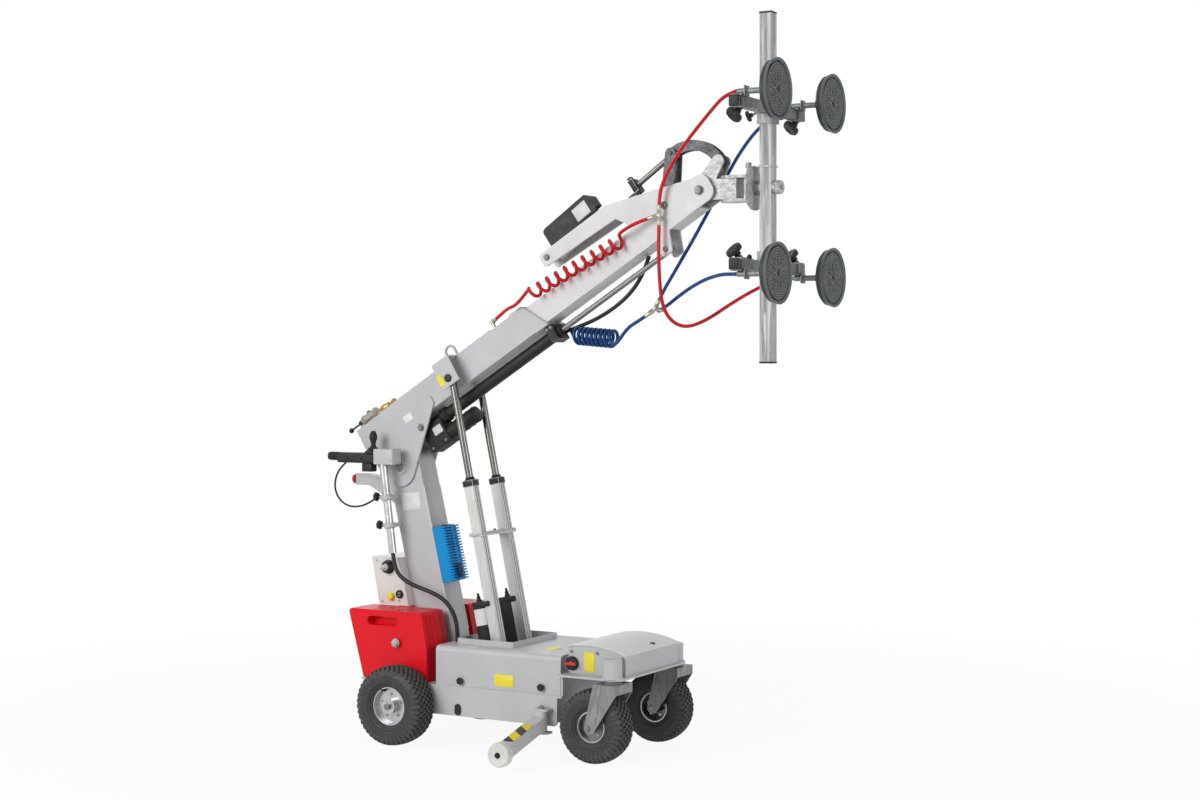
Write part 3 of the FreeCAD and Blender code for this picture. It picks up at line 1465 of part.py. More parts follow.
def swing_yoke():
    half_gap = block_half_height + seat_gap
    front = yoke_front_x
    plates = []
    for z0 in (rotor_z + half_gap, rotor_z - half_gap - yoke_plate):
        tail = [(swing_x - yoke_half, -yoke_half), (front, -yoke_half), (front, yoke_half),
                (swing_x - yoke_half, yoke_half)]
        corner = yoke_half - seat_gap
        plates.append(floor_plate(tail, [corner, 0, 0, corner], z0, z0 + yoke_plate))
    reach = half_gap + yoke_plate
    face = box(front - yoke_face, front, -yoke_half, yoke_half, rotor_z - reach, rotor_z + reach)
    pin = rod(V(swing_x, 0, rotor_z - reach), V(swing_x, 0, rotor_z + reach), swing_pin_radius)
    disc = rod(V(front, 0, rotor_z), V(front + disc_thick, 0, rotor_z), disc_radius)
    spigot = rod(V(front, 0, rotor_z), V(spigot_end_x, 0, rotor_z), spigot_radius)
    nut = rod(V(bar_x + bar_half + seat_gap, 0, rotor_z), V(bar_x + bar_half + nut_thick, 0, rotor_z),
              nut_radius)
    save("swing_yoke", joined(face, pin, disc, spigot, nut, *plates))


def suction_bar():
    half = bar_half
    low = rotor_z - bar_length / 2
    high = rotor_z + bar_length / 2
    outer = floor_plate([(bar_x - half, -half), (bar_x + half, -half), (bar_x + half, half),
                         (bar_x - half, half)], bar_corner, low, high)
    inside = half - bar_wall
    tube = outer.cut(box(bar_x - inside, bar_x + inside, -inside, inside, low - overrun, high + overrun))
    hub = rod(V(yoke_front_x + disc_thick + seat_gap, 0, rotor_z), V(bar_x + half, 0, rotor_z), hub_radius)
    hub = hub.common(box(yoke_front_x, bar_x + half, -half, half, low, high))
    bore = rod(V(yoke_front_x, 0, rotor_z), V(spigot_end_x + overrun, 0, rotor_z),
               spigot_radius + running_fit)
    save("suction_bar", joined(tube, hub).cut(bore))


def crossarm(name, up):
    """Sleeve on the suction bar with an arm each side; up is 1 above the rotor, -1 below."""
    arm_z = rotor_z + up * arm_offset
    inside = bar_half + seat_gap
    outside = inside + sleeve_wall
    far = arm_z - up * sleeve_length * sleeve_side_share
    near = far + up * sleeve_length
    low, high = sorted((near, far))
    sleeve = box(bar_x - outside, bar_x + outside, -outside, outside, low, high)
    sleeve = sleeve.cut(box(bar_x - inside, bar_x + inside, -inside, inside, low - overrun, high + overrun))
    hollow = arm_half - arm_wall
    arm = box(bar_x - arm_half, bar_x + arm_half, outside, arm_end_y, arm_z - arm_half, arm_z + arm_half)
    arm = arm.cut(box(bar_x - hollow, bar_x + hollow, outside + arm_wall, arm_end_y + overrun,
                      arm_z - hollow, arm_z + hollow))
    save(name, joined(sleeve, *both_sides(arm)))


def cup_clamp(name, side, up, hose):
    arm_z = rotor_z + up * arm_offset
    inside = arm_half + seat_gap
    outside = inside + clamp_wall
    y0 = side * cup_y - clamp_width / 2
    y1 = y0 + clamp_width
    frame = box(bar_x - outside, bar_x + outside, y0, y1, arm_z - outside, arm_z + outside)
    frame = frame.cut(box(bar_x - inside, bar_x + inside, y0 - overrun, y1 + overrun, arm_z - inside,
                          arm_z + inside))
    axis = V(0, side * cup_y, arm_z + up * cup_drop)
    stem = rod(axis + V(stem_rear_x, 0, 0), axis + V(cup_hub_x, 0, 0), stem_tube_radius)
    nipple = rod(axis + V(stem_rear_x - nipple_length, 0, 0), axis + V(stem_rear_x, 0, 0), nipple_radius)
    nipple = nipple.cut(seat_of(hose[-1], hose[-2], 2 * hose_size))
    save(name, joined(frame, stem, nipple))


def suction_cup(name, side, up):
    """Bell with a flat ring for a face, drawn as a turned profile along X."""
    back_x = cup_face_x - cup_depth
    lip_x = cup_face_x - cup_lip
    floor_x = cup_face_x - cup_recess
    inner_lip = cup_radius - cup_lip
    pairs = [(cup_hub_x, 0), (cup_hub_x, cup_hub_radius), (back_x, cup_hub_radius),
             (lip_x, cup_radius - cup_lip_edge), (lip_x, cup_radius), (cup_face_x, cup_radius),
             (cup_face_x, inner_lip), (floor_x, inner_lip), (floor_x, 0)]
    outline = Part.makePolygon([V(x, r, 0) for x, r in pairs + pairs[:1]])
    cup = Part.Face(outline).revolve(V(0, 0, 0), V(1, 0, 0), 360)
    cup.translate(V(0, side * cup_y, rotor_z + up * (arm_offset + cup_drop)))
    save(name, cup)


def suction_frame():
    suction_bar()
    for height, up, ends in (("upper", 1, (red_up, blue_up)), ("lower", -1, (blue_down, red_down))):
        crossarm("crossarm_" + height, up)
        for hand, side, hose in (("right", -1, ends[0]), ("left", 1, ends[1])):
            cup_clamp("cup_clamp_" + height + "_" + hand, side, up, hose)
            suction_cup("suction_cup_" + height + "_" + hand, side, up)


# Vacuum valve
def vacuum_valve():
    centre_t = outer_half + valve_seat + valve_radius
    body = boom_rod(valve_s - valve_length / 2, valve_s + valve_length / 2, valve_y, centre_t, valve_radius)
    seat = boom_box(valve_s - valve_length / 3, valve_s + valve_length / 3, valve_y - valve_radius / 2,
                    valve_y + valve_radius / 2, outer_half, centre_t)
    neck = boom_box(valve_lever_s - valve_hub_half, valve_s, valve_y - valve_hub_half,
                    valve_y + valve_hub_half, outer_half, centre_t - valve_hub_radius - seat_gap)
    end_s = valve_s + valve_length / 2 + valve_fitting_length
    fitting = boom_rod(valve_s, end_s, valve_y, centre_t - valve_seat, valve_fitting_radius)
    save("vacuum_valve", joined(body, seat, neck, fitting))
    hub_at = boom_point(valve_lever_s, 0, centre_t)
    hub = rod(hub_at + V(0, valve_y - valve_hub_half, 0), hub_at + V(0, valve_y + valve_hub_half, 0),
              valve_hub_radius)
    axis = boom_point(valve_lever_s, valve_y, centre_t)
    tip = axis - along * valve_lever_length
    lever = joined(hub, rod(axis, tip, valve_lever_radius), Part.makeSphere(valve_ball_radius, tip))
    save("valve_lever", lever)


# Hoses
def tee(point, ends):
    """Small hose fitting: a hub with a short spigot towards each hose end."""
    centre = V(*point)
    arms = [Part.makeSphere(fitting_radius, centre)]
    for end in ends:
        arms.append(rod(centre, V(*end), fitting_radius))
    return joined(*arms)


def gland(points):
    """Straight fitting that the first point of a hose comes out of."""
    first, second = [V(*p) for p in points[:2]]
    run = (second - first).normalize()
    mouth = first - run * hose_size
    return rod(mouth - run * fitting_length, mouth, fitting_radius)


def gland_post(fitting):
    """Post that carries a fitting on top of the boom."""
    centre = fitting.CenterOfMass
    reach = centre - foot
    s = reach.dot(along)
    return rod(boom_point(s, centre.y, outer_half), boom_point(s, centre.y, reach.dot(across)),
               fitting_radius)


def hoses():
    near = V(0, -1, 0)
    far = V(0, 1, 0)
    red = curly_hose("red coil", red_lead_in, red_coil_ends, red_lead_out, near, -1, coil_radius_red,
                     coil_turns_red, hose_size)
    red_fitting = tee(red_tee, [red_lead_out[-1], red_up[0], red_down[0]]).cut(red)
    red_gland = gland(red_lead_in)
    red_gland = joined(red_gland, gland_post(red_gland))
    save("red_hoses", red, cord("red up", red_up, hose_size), cord("red down", red_down, hose_size),
         red_fitting, red_gland)
    blue = curly_hose("blue coil", blue_lead_in, blue_coil_ends, blue_lead_out, far, -1, coil_radius_blue,
                      coil_turns_blue, hose_size)
    blue_fitting = tee(blue_tee, [blue_lead_out[-1], blue_up[0], blue_down[0]]).cut(blue)
    save("blue_hoses", blue, cord("blue up", blue_up, hose_size), cord("blue down", blue_down, hose_size),
         blue_fitting, gland(blue_lead_in))
    save("boom_cable", cord("boom cable", boom_cable_route, boom_cable_size))


rear_wheels()
casters()
base_frame()
drive_axle()
outriggers()
hood_cover()
front_housing()
front_lid()
main_switch_key()
counterweights()
column()
estop_button()
control_panel()
charger()
controls()
outer_boom()
lifting_hoop()
inner_boom()
telescope_drive()
lift_actuators()
boom_head()
tilt_linkage()
knuckle()
swing_yoke()
suction_frame()
vacuum_valve()
hoses()
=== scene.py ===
"""Looks of the glass panel lifter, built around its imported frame."""
import json
import math
import random

import bmesh
import bpy
from mathutils import Matrix, Vector


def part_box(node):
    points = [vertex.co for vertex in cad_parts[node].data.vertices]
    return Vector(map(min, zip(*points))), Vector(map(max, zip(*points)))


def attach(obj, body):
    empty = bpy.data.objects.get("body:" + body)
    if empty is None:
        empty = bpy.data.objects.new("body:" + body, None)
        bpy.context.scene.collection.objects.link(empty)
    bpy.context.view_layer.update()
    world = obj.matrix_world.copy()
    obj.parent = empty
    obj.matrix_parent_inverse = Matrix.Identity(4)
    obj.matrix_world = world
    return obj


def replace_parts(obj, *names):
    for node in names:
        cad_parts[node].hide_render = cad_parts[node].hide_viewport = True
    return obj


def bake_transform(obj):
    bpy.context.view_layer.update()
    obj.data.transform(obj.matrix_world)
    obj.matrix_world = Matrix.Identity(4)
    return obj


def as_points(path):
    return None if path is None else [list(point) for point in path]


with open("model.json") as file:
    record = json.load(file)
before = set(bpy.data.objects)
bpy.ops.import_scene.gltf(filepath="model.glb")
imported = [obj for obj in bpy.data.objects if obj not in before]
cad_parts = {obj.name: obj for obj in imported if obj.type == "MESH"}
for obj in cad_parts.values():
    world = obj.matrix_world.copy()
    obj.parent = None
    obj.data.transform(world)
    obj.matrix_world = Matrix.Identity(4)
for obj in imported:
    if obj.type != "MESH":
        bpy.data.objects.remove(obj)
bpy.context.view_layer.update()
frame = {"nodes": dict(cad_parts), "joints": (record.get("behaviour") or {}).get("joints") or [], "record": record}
scene = bpy.context.scene
nodes = frame["nodes"]
joints = {j["name"]: j for j in frame["joints"]}
X_AXIS = Vector((1, 0, 0))
Y_AXIS = Vector((0, 1, 0))
Z_AXIS = Vector((0, 0, 1))
SIDES = (("right", -1), ("left", 1))


def joint_place(name):
    return Vector(joints[name]["pos_m"])


def joint_axis(name):
    return Vector(joints[name]["axis"])


# Places are in metres: at() counts x from the rear axle, on_boom() counts from the boom's foot.
axle = joint_place("rear_wheel_spin_right")
along = joint_axis("telescope")
rise = Vector((-along.z, 0, along.x))
pivot = joint_place("boom_lift")
pivot_drop = 0.183
boom_foot = Vector((pivot.x, 0, pivot.z)) + rise * pivot_drop


def at(x, y, z):
    return Vector((axle.x + x, y, z))


def on_boom(s, y, t):
    return boom_foot + along * s + rise * t + Y_AXIS * y


def corners_of(node):
    low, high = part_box(node)
    return Vector(low), Vector(high)


def middle(node):
    low, high = corners_of(node)
    return (low + high) / 2


def size_of(node):
    low, high = corners_of(node)
    return high - low


# Materials


def add_node(tree, kind, sockets=None, **values):
    """A new shader node; each socket takes a plain value or a link from another node."""
    node = tree.nodes.new(kind)
    for key, value in values.items():
        setattr(node, key, value)
    for key, value in (sockets or {}).items():
        if isinstance(value, bpy.types.NodeSocket):
            tree.links.new(value, node.inputs[key])
        else:
            node.inputs[key].default_value = value
    return node


def scaled(colour, share, lift=0.0):
    return tuple(min(1.0, c * share + lift) for c in colour)


class Shade:
    """One procedural material: a shader with its pattern nodes."""

    coat_rough = 0.12

    def __init__(self, name, rough, metal=0.0, coat=0.0, specular=0.5):
        self.mat = bpy.data.materials.new(name)
        self.mat.use_nodes = True
        self.tree = self.mat.node_tree
        self.shader = self.tree.nodes["Principled BSDF"]
        plain = {"Roughness": rough, "Metallic": metal, "Coat Weight": coat,
                 "Coat Roughness": self.coat_rough, "Specular IOR Level": specular}
        for socket, value in plain.items():
            self.shader.inputs[socket].default_value = value
        self.coords = self.node("ShaderNodeTexCoord").outputs["Object"]

    def node(self, kind, sockets=None, **values):
        return add_node(self.tree, kind, sockets, **values)

    def stretched(self, scale):
        return self.node("ShaderNodeMapping", {"Scale": scale, "Vector": self.coords}).outputs["Vector"]

    def noise(self, scale, detail=3.0, roughness=0.55, coords=None):
        sockets = {"Scale": scale, "Detail": detail, "Roughness": roughness,
                   "Vector": coords or self.coords}
        return self.node("ShaderNodeTexNoise", sockets).outputs["Fac"]

    def range(self, value, low, high, start, stop):
        sockets = {"Value": value, "From Min": start, "From Max": stop, "To Min": low, "To Max": high}
        return self.node("ShaderNodeMapRange", sockets).outputs["Result"]

    def patches(self, most, start, stop, *noise):
        """Noise that fades in from nothing to its most between two levels."""
        return self.range(self.noise(*noise), 0.0, most, start, stop)

    def ramp(self, factor, *stops):
        """A colour ramp between two (place, colour) stops."""
        n = self.node("ShaderNodeValToRGB", {"Fac": factor})
        for end, (place, colour) in zip(n.color_ramp.elements, stops):
            end.position = place
            end.color = (*colour, 1.0)
        return n.outputs["Color"]

    def tint(self, factor, colour, dark, light):
        """The colour between a dark and a light share of itself."""
        return self.ramp(factor, (0.3, scaled(colour, dark)), (0.7, scaled(colour, light)))

    def mix(self, factor, *colours):
        first, second = [(*c, 1.0) if isinstance(c, tuple) else c for c in colours]
        sockets = {0: factor, 6: first, 7: second}
        return self.node("ShaderNodeMix", sockets, data_type="RGBA").outputs[2]

    def math(self, operation, a, b):
        return self.node("ShaderNodeMath", {0: a, 1: b}, operation=operation).outputs[0]

    def pitches(self, direction, pitch):
        """The distance along a direction, counted in pitches."""
        way = tuple(Vector(direction).normalized() / pitch)
        dot = self.node("ShaderNodeVectorMath", {0: self.coords, 1: way}, operation="DOT_PRODUCT")
        return dot.outputs["Value"]

    def edges(self, radius):
        """A mask that is bright along the edges of the form."""
        bevel = self.node("ShaderNodeBevel", {"Radius": radius}, samples=4)
        plain = self.node("ShaderNodeNewGeometry").outputs["Normal"]
        sockets = {0: bevel.outputs["Normal"], 1: plain}
        dot = self.node("ShaderNodeVectorMath", sockets, operation="DOT_PRODUCT")
        return self.range(dot.outputs["Value"], 1.0, 0.0, 0.75, 0.97)

    def colour(self, socket):
        self.tree.links.new(socket, self.shader.inputs["Base Color"])

    def roughness(self, value, low, high):
        self.tree.links.new(self.range(value, low, high, 0.3, 0.7), self.shader.inputs["Roughness"])

    def bump(self, value, strength, distance):
        n = self.node("ShaderNodeBump", {"Strength": strength, "Distance": distance, "Height": value})
        self.tree.links.new(n.outputs["Normal"], self.shader.inputs["Normal"])


def paint(name, colour, rough=0.4, coat=0.06, wear=(0.62, 0.63, 0.64), specular=0.35):
    """Sprayed paint with a little dust, rubbed through along its edges."""
    s = Shade(name, rough, coat=coat, specular=specular)
    tint = s.tint(s.noise(4.0, 4.0), colour, 0.93, 1.04)
    dust = s.patches(0.22, 0.5, 0.85, 38.0, 6.0, 0.7)
    tint = s.mix(dust, tint, scaled(colour, 0.8))
    worn = s.math("MULTIPLY", s.edges(0.0025), s.patches(0.35, 0.42, 0.62, 160.0, 4.0, 0.7))
    s.colour(s.mix(worn, tint, wear))
    s.roughness(s.noise(22.0, 5.0), rough - 0.07, rough + 0.1)
    s.bump(s.noise(900.0, 2.0), 0.12, 0.0004)
    return s.mat


warm_shares = (0.92, 0.89, 0.78)


def zinc(name, colour, scale, spread, rough, stretch=(1, 1, 1), metallic=0.3):
    """Galvanised steel: spangle, light streaks along the stretch and darker stains."""
    s = Shade(name, rough, metal=metallic, specular=0.35)
    coords = s.stretched(stretch)
    spangle = s.node("ShaderNodeTexVoronoi", {"Scale": scale, "Vector": coords})
    grey = s.node("ShaderNodeRGBToBW", {"Color": spangle.outputs["Color"]}).outputs["Val"]
    tint = s.ramp(grey, (0.15, scaled(colour, 1 - spread)), (0.85, scaled(colour, 1 + spread)))
    warm = s.patches(0.55, 0.48, 0.72, 9.0, 4.0)
    tint = s.mix(warm, tint, tuple(c * share for c, share in zip(colour, warm_shares)))
    streak = s.patches(0.7, 0.52, 0.7, scale * 1.7, 5.0, 0.7, coords)
    tint = s.mix(streak, tint, scaled(colour, 1 + 1.2 * spread))
    stain = s.patches(0.55, 0.5, 0.75, 46.0, 6.0, 0.75, coords)
    s.colour(s.mix(stain, tint, scaled(colour, 1 - 1.3 * spread)))
    s.roughness(s.noise(60.0, 5.0, 0.6, coords), rough - 0.1, rough + 0.16)
    s.bump(s.noise(420.0, 3.0, 0.6, coords), 0.16, 0.0005)
    return s.mat


def metal(name, colour, rough, stretch=(1, 1, 1), streak=260.0, metallic=0.95):
    """Drawn or turned metal with fine lines and grime."""
    s = Shade(name, rough, metal=metallic)
    lines = s.noise(streak, 3.0, 0.6, s.stretched(stretch))
    grime = s.patches(0.35, 0.5, 0.8, 14.0, 5.0, 0.65)
    s.colour(s.mix(grime, s.tint(lines, colour, 0.86, 1.08), scaled(colour, 0.62)))
    s.roughness(lines, rough - 0.05, rough + 0.1)
    s.bump(lines, 0.06, 0.0003)
    return s.mat


def threaded(name, colour, axis, pitch):
    """A rolled thread: painted highlights on the crests and painted shade in the roots, along the axis."""
    s = Shade(name, 0.34, metal=0.6)
    wave = s.math("PINGPONG", s.pitches(axis, pitch), 0.5)
    # The dark roots and light crests are painted shade and painted highlight over the bump's relief.
    tint = s.ramp(wave, (0.08, scaled(colour, 0.3)), (0.36, scaled(colour, 1.25)))
    grease = s.patches(0.4, 0.5, 0.8, 30.0, 5.0, 0.65)
    s.colour(s.mix(grease, tint, scaled(colour, 0.45)))
    s.bump(wave, 0.6, 0.0012)
    return s.mat


def plastic(name, colour, rough=0.45, grain=1400.0, strength=0.18, specular=0.5):
    """Moulded plastic with a fine grain, rubbed lighter along its edges."""
    s = Shade(name, rough, specular=specular)
    tint = s.tint(s.noise(12.0, 4.0), colour, 0.86, 1.14)
    rub = s.math("MULTIPLY", s.edges(0.0015), s.patches(0.4, 0.4, 0.65, 90.0, 4.0))
    s.colour(s.mix(rub, tint, scaled(colour, 1.5, 0.03)))
    s.roughness(s.noise(30.0, 4.0), rough - 0.08, rough + 0.1)
    s.bump(s.noise(grain, 2.0), strength, 0.0003)
    return s.mat


def rubber(name, colour, dust, rough):
    """Moulded rubber with powdery dust on it."""
    s = Shade(name, rough, specular=0.35)
    tint = s.tint(s.noise(20.0, 5.0), colour, 0.8, 1.2)
    s.colour(s.mix(s.patches(0.55, 0.42, 0.75, 55.0, 6.0, 0.7), tint, dust))
    s.roughness(s.noise(70.0, 5.0), rough - 0.12, rough + 0.12)
    s.bump(s.noise(650.0, 4.0), 0.3, 0.0006)
    return s.mat


def hose(name, colour):
    """Smooth hose with a thin film of dirt."""
    s = Shade(name, 0.26, coat=0.03, specular=0.2)
    tint = s.tint(s.noise(25.0, 3.0), colour, 0.82, 1.12)
    s.colour(s.mix(s.patches(0.25, 0.5, 0.8, 120.0, 5.0, 0.7), tint, scaled(colour, 0.8, 0.004)))
    s.roughness(s.noise(80.0, 4.0), 0.24, 0.4)
    s.bump(s.noise(500.0, 2.0), 0.06, 0.0003)
    return s.mat


def hazard(name, direction, pitch):
    """Yellow tape with slanting black bars across it."""
    s = Shade(name, 0.42)
    part = s.node("ShaderNodeMath", {0: s.pitches(direction, pitch)}, operation="FRACT").outputs[0]
    tape = s.mix(s.math("GREATER_THAN", part, 0.52), (0.82, 0.6, 0.02), (0.02, 0.02, 0.02))
    s.colour(s.mix(s.patches(0.5, 0.55, 0.8, 60.0, 6.0, 0.7), tape, (0.45, 0.42, 0.34)))
    s.roughness(s.noise(50.0, 4.0), 0.34, 0.55)
    s.bump(s.noise(700.0, 2.0), 0.1, 0.0003)
    return s.mat


thread_pitch = 0.006
thread_grey = (0.26, 0.25, 0.24)
tape_pitch = 0.072

finishes = {
    "grey": paint("grey_paint", (0.53, 0.535, 0.54)),
    "light": paint("light_paint", (0.7, 0.705, 0.705)),
    "white": paint("white_paint", (0.7, 0.69, 0.66)),
    "red": paint("red_paint", (0.78, 0.008, 0.018), 0.32, 0.05, (0.4, 0.02, 0.03), 0.18),
    # A dark red for the strips between the weights' plates: painted shade in their gaps.
    "seam": paint("seam_painted_shade", (0.16, 0.004, 0.008), 0.5, 0.0, (0.3, 0.02, 0.03)),
    "blue": paint("blue_paint", (0.002, 0.27, 0.64), 0.4, 0.03, (0.1, 0.3, 0.5), 0.2),
    "yellow": paint("yellow_plate", (0.86, 0.72, 0.04), 0.45, 0.0, (0.7, 0.6, 0.3)),
    # This zinc's grey is partly its own and partly darkened: a painted dark reflection of its surroundings.
    "zinc": zinc("zinc_with_painted_dark_reflection", (0.24, 0.25, 0.245), 90.0, 0.25, 0.42, (1, 1, 0.2)),
    "bar": zinc("streaked_zinc", (0.36, 0.375, 0.37), 120.0, 0.5, 0.4, (1, 1, 0.04), 0.12),
    "plate": zinc("bright_zinc", (0.43, 0.44, 0.44), 130.0, 0.3, 0.38, metallic=0.15),
    "cast": zinc("spangled_zinc", (0.11, 0.12, 0.128), 130.0, 0.5, 0.45, metallic=0.1),
    "chrome": metal("bright_rod", (0.17, 0.16, 0.15), 0.14),
    "thread": threaded("rolled_thread", thread_grey, along, thread_pitch),
    "tilt_thread": threaded("tilt_thread", thread_grey, joint_axis("tilt_rod_slide"), thread_pitch),
    "alu": metal("drawn_aluminium", (0.56, 0.555, 0.535), 0.38, (1, 1, 0.05), metallic=0.35),
    "steel": metal("dark_steel", (0.2, 0.2, 0.21), 0.36),
    "silver": metal("wheel_silver", (0.5, 0.51, 0.52), 0.2, streak=24.0, metallic=0.7),
    "brass": metal("plated_brass", (0.4, 0.37, 0.31), 0.24, metallic=0.6),
    "gold": metal("bare_brass", (0.42, 0.25, 0.07), 0.28, metallic=0.7),
    "black": plastic("black_plastic", (0.014, 0.014, 0.015), 0.5, specular=0.3),
    "soft_black": plastic("matt_black", (0.018, 0.018, 0.019), 0.6, 800.0, 0.3, 0.25),
    "red_plastic": plastic("red_plastic", (0.62, 0.015, 0.02), 0.3),
    "pale_plastic": plastic("pale_plastic", (0.68, 0.68, 0.66), 0.4),
    "nylon": plastic("white_nylon", (0.72, 0.71, 0.68), 0.42),
    # The carcass, which floors the tread's grooves, is darker than the tread blocks: painted shade in the grooves;
    # the tread's lighter dust is wear.
    "tyre": rubber("tyre_rubber", (0.03, 0.031, 0.032), (0.055, 0.055, 0.056), 0.55),
    "tread": rubber("tread_rubber", (0.058, 0.057, 0.054), (0.12, 0.114, 0.104), 0.75),
    "cup": rubber("cup_rubber", (0.034, 0.038, 0.041), (0.055, 0.06, 0.064), 0.55),
    "lip": rubber("lip_rubber", (0.105, 0.114, 0.12), (0.15, 0.16, 0.166), 0.5),
    "pips": rubber("pip_rubber", (0.2, 0.212, 0.22), (0.28, 0.292, 0.3), 0.5),
    "hose_red": hose("hose_red", (0.63, 0.009, 0.016)),
    "hose_blue": hose("hose_blue", (0.001, 0.056, 0.215)),
    "cable": plastic("cable_black", (0.012, 0.012, 0.013), 0.45, 500.0, 0.1, 0.3),
    "tape": hazard("hazard_tape", (0.75, 1.0, 0.0), tape_pitch),
}

finish_of_slot = {
    "grey_paint": "grey", "light_paint": "light", "red_paint": "red", "blue_paint": "blue",
    "dark_metal": "steel", "wheel_silver": "silver", "galvanised": "zinc", "chrome": "chrome",
    "extrusion": "alu", "brass": "brass", "tyre": "tyre", "black_plastic": "black",
    "red_plastic": "red_plastic", "nylon": "nylon", "cup_rubber": "cup", "hose_red": "hose_red",
    "hose_blue": "hose_blue",
}
finish_of_node = {
    "tilt_lever": "cast", "tilt_link": "cast", "knuckle": "plate", "swing_yoke": "plate",
    "suction_bar": "bar", "telescope_spindle": "thread", "lifting_hoop": "grey",
    "tilt_rod": "tilt_thread", "main_switch_key": "red_plastic", "control_pole": "silver",
    "control_panel": "white", "column": "grey",
}

# A slot for each finish.
slot_of_finish = {finish: slot for slot, finish in finish_of_slot.items()}
slot_of_finish.update({
    "plate": "galvanised", "soft_black": "black_plastic", "cable": "black_plastic", "tread": "tyre",
    "pips": "cup_rubber", "lip": "cup_rubber", "yellow": "grey_paint", "tape": "grey_paint",
    "seam": "dark_metal", "pale_plastic": "light_paint", "gold": "brass", "tilt_thread": "chrome",
})


def dress_nodes():
    for part in frame["record"]["subparts"]:
        key = finish_of_node.get(part["node"], finish_of_slot[part["material_slot"]])
        mesh = nodes[part["node"]].data
        mesh.materials.clear()
        mesh.materials.append(finishes[key])


# Mesh builders


def settle(name, mesh, body, finish):
    """Links a mesh as a piece, with its finish and the body that it rides on."""
    obj = bpy.data.objects.new(name, mesh)
    scene.collection.objects.link(obj)
    if not mesh.materials:
        mesh.materials.append(finishes[finish])
    if body:
        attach(obj, body)
    return obj


def smoothed(mesh, angle):
    """Shades a mesh smooth, apart from edges sharper than the angle."""
    mesh.polygons.foreach_set("use_smooth", [True] * len(mesh.polygons))
    mesh.set_sharp_from_angle(angle=math.radians(angle))
    return mesh


# Shares of a height and of a radius, along a profile.
washer_shares = ((0, 0), (0, 1.25), (0.7, 1.25), (1, 1.15), (1, 0))
boss_shares = ((0, 0), (0, 0.42), (0.45, 0.4))
knob_shares = (
    (0.4, 0), (0.4, 0.8), (0.5, 0.97), (0.86, 0.97), (1, 0.84), (1, 0.4), (0.94, 0.32), (0.94, 0))
tail_shares = ((0, 0), (0, 0.7), (0.15, 0.92), (0.3, 0.78), (0.45, 0.92), (0.6, 0.78), (0.6, 0))
nut_shares = ((0.55, 0), (0.55, 1), (0.95, 1), (1, 0.85), (1, 0))


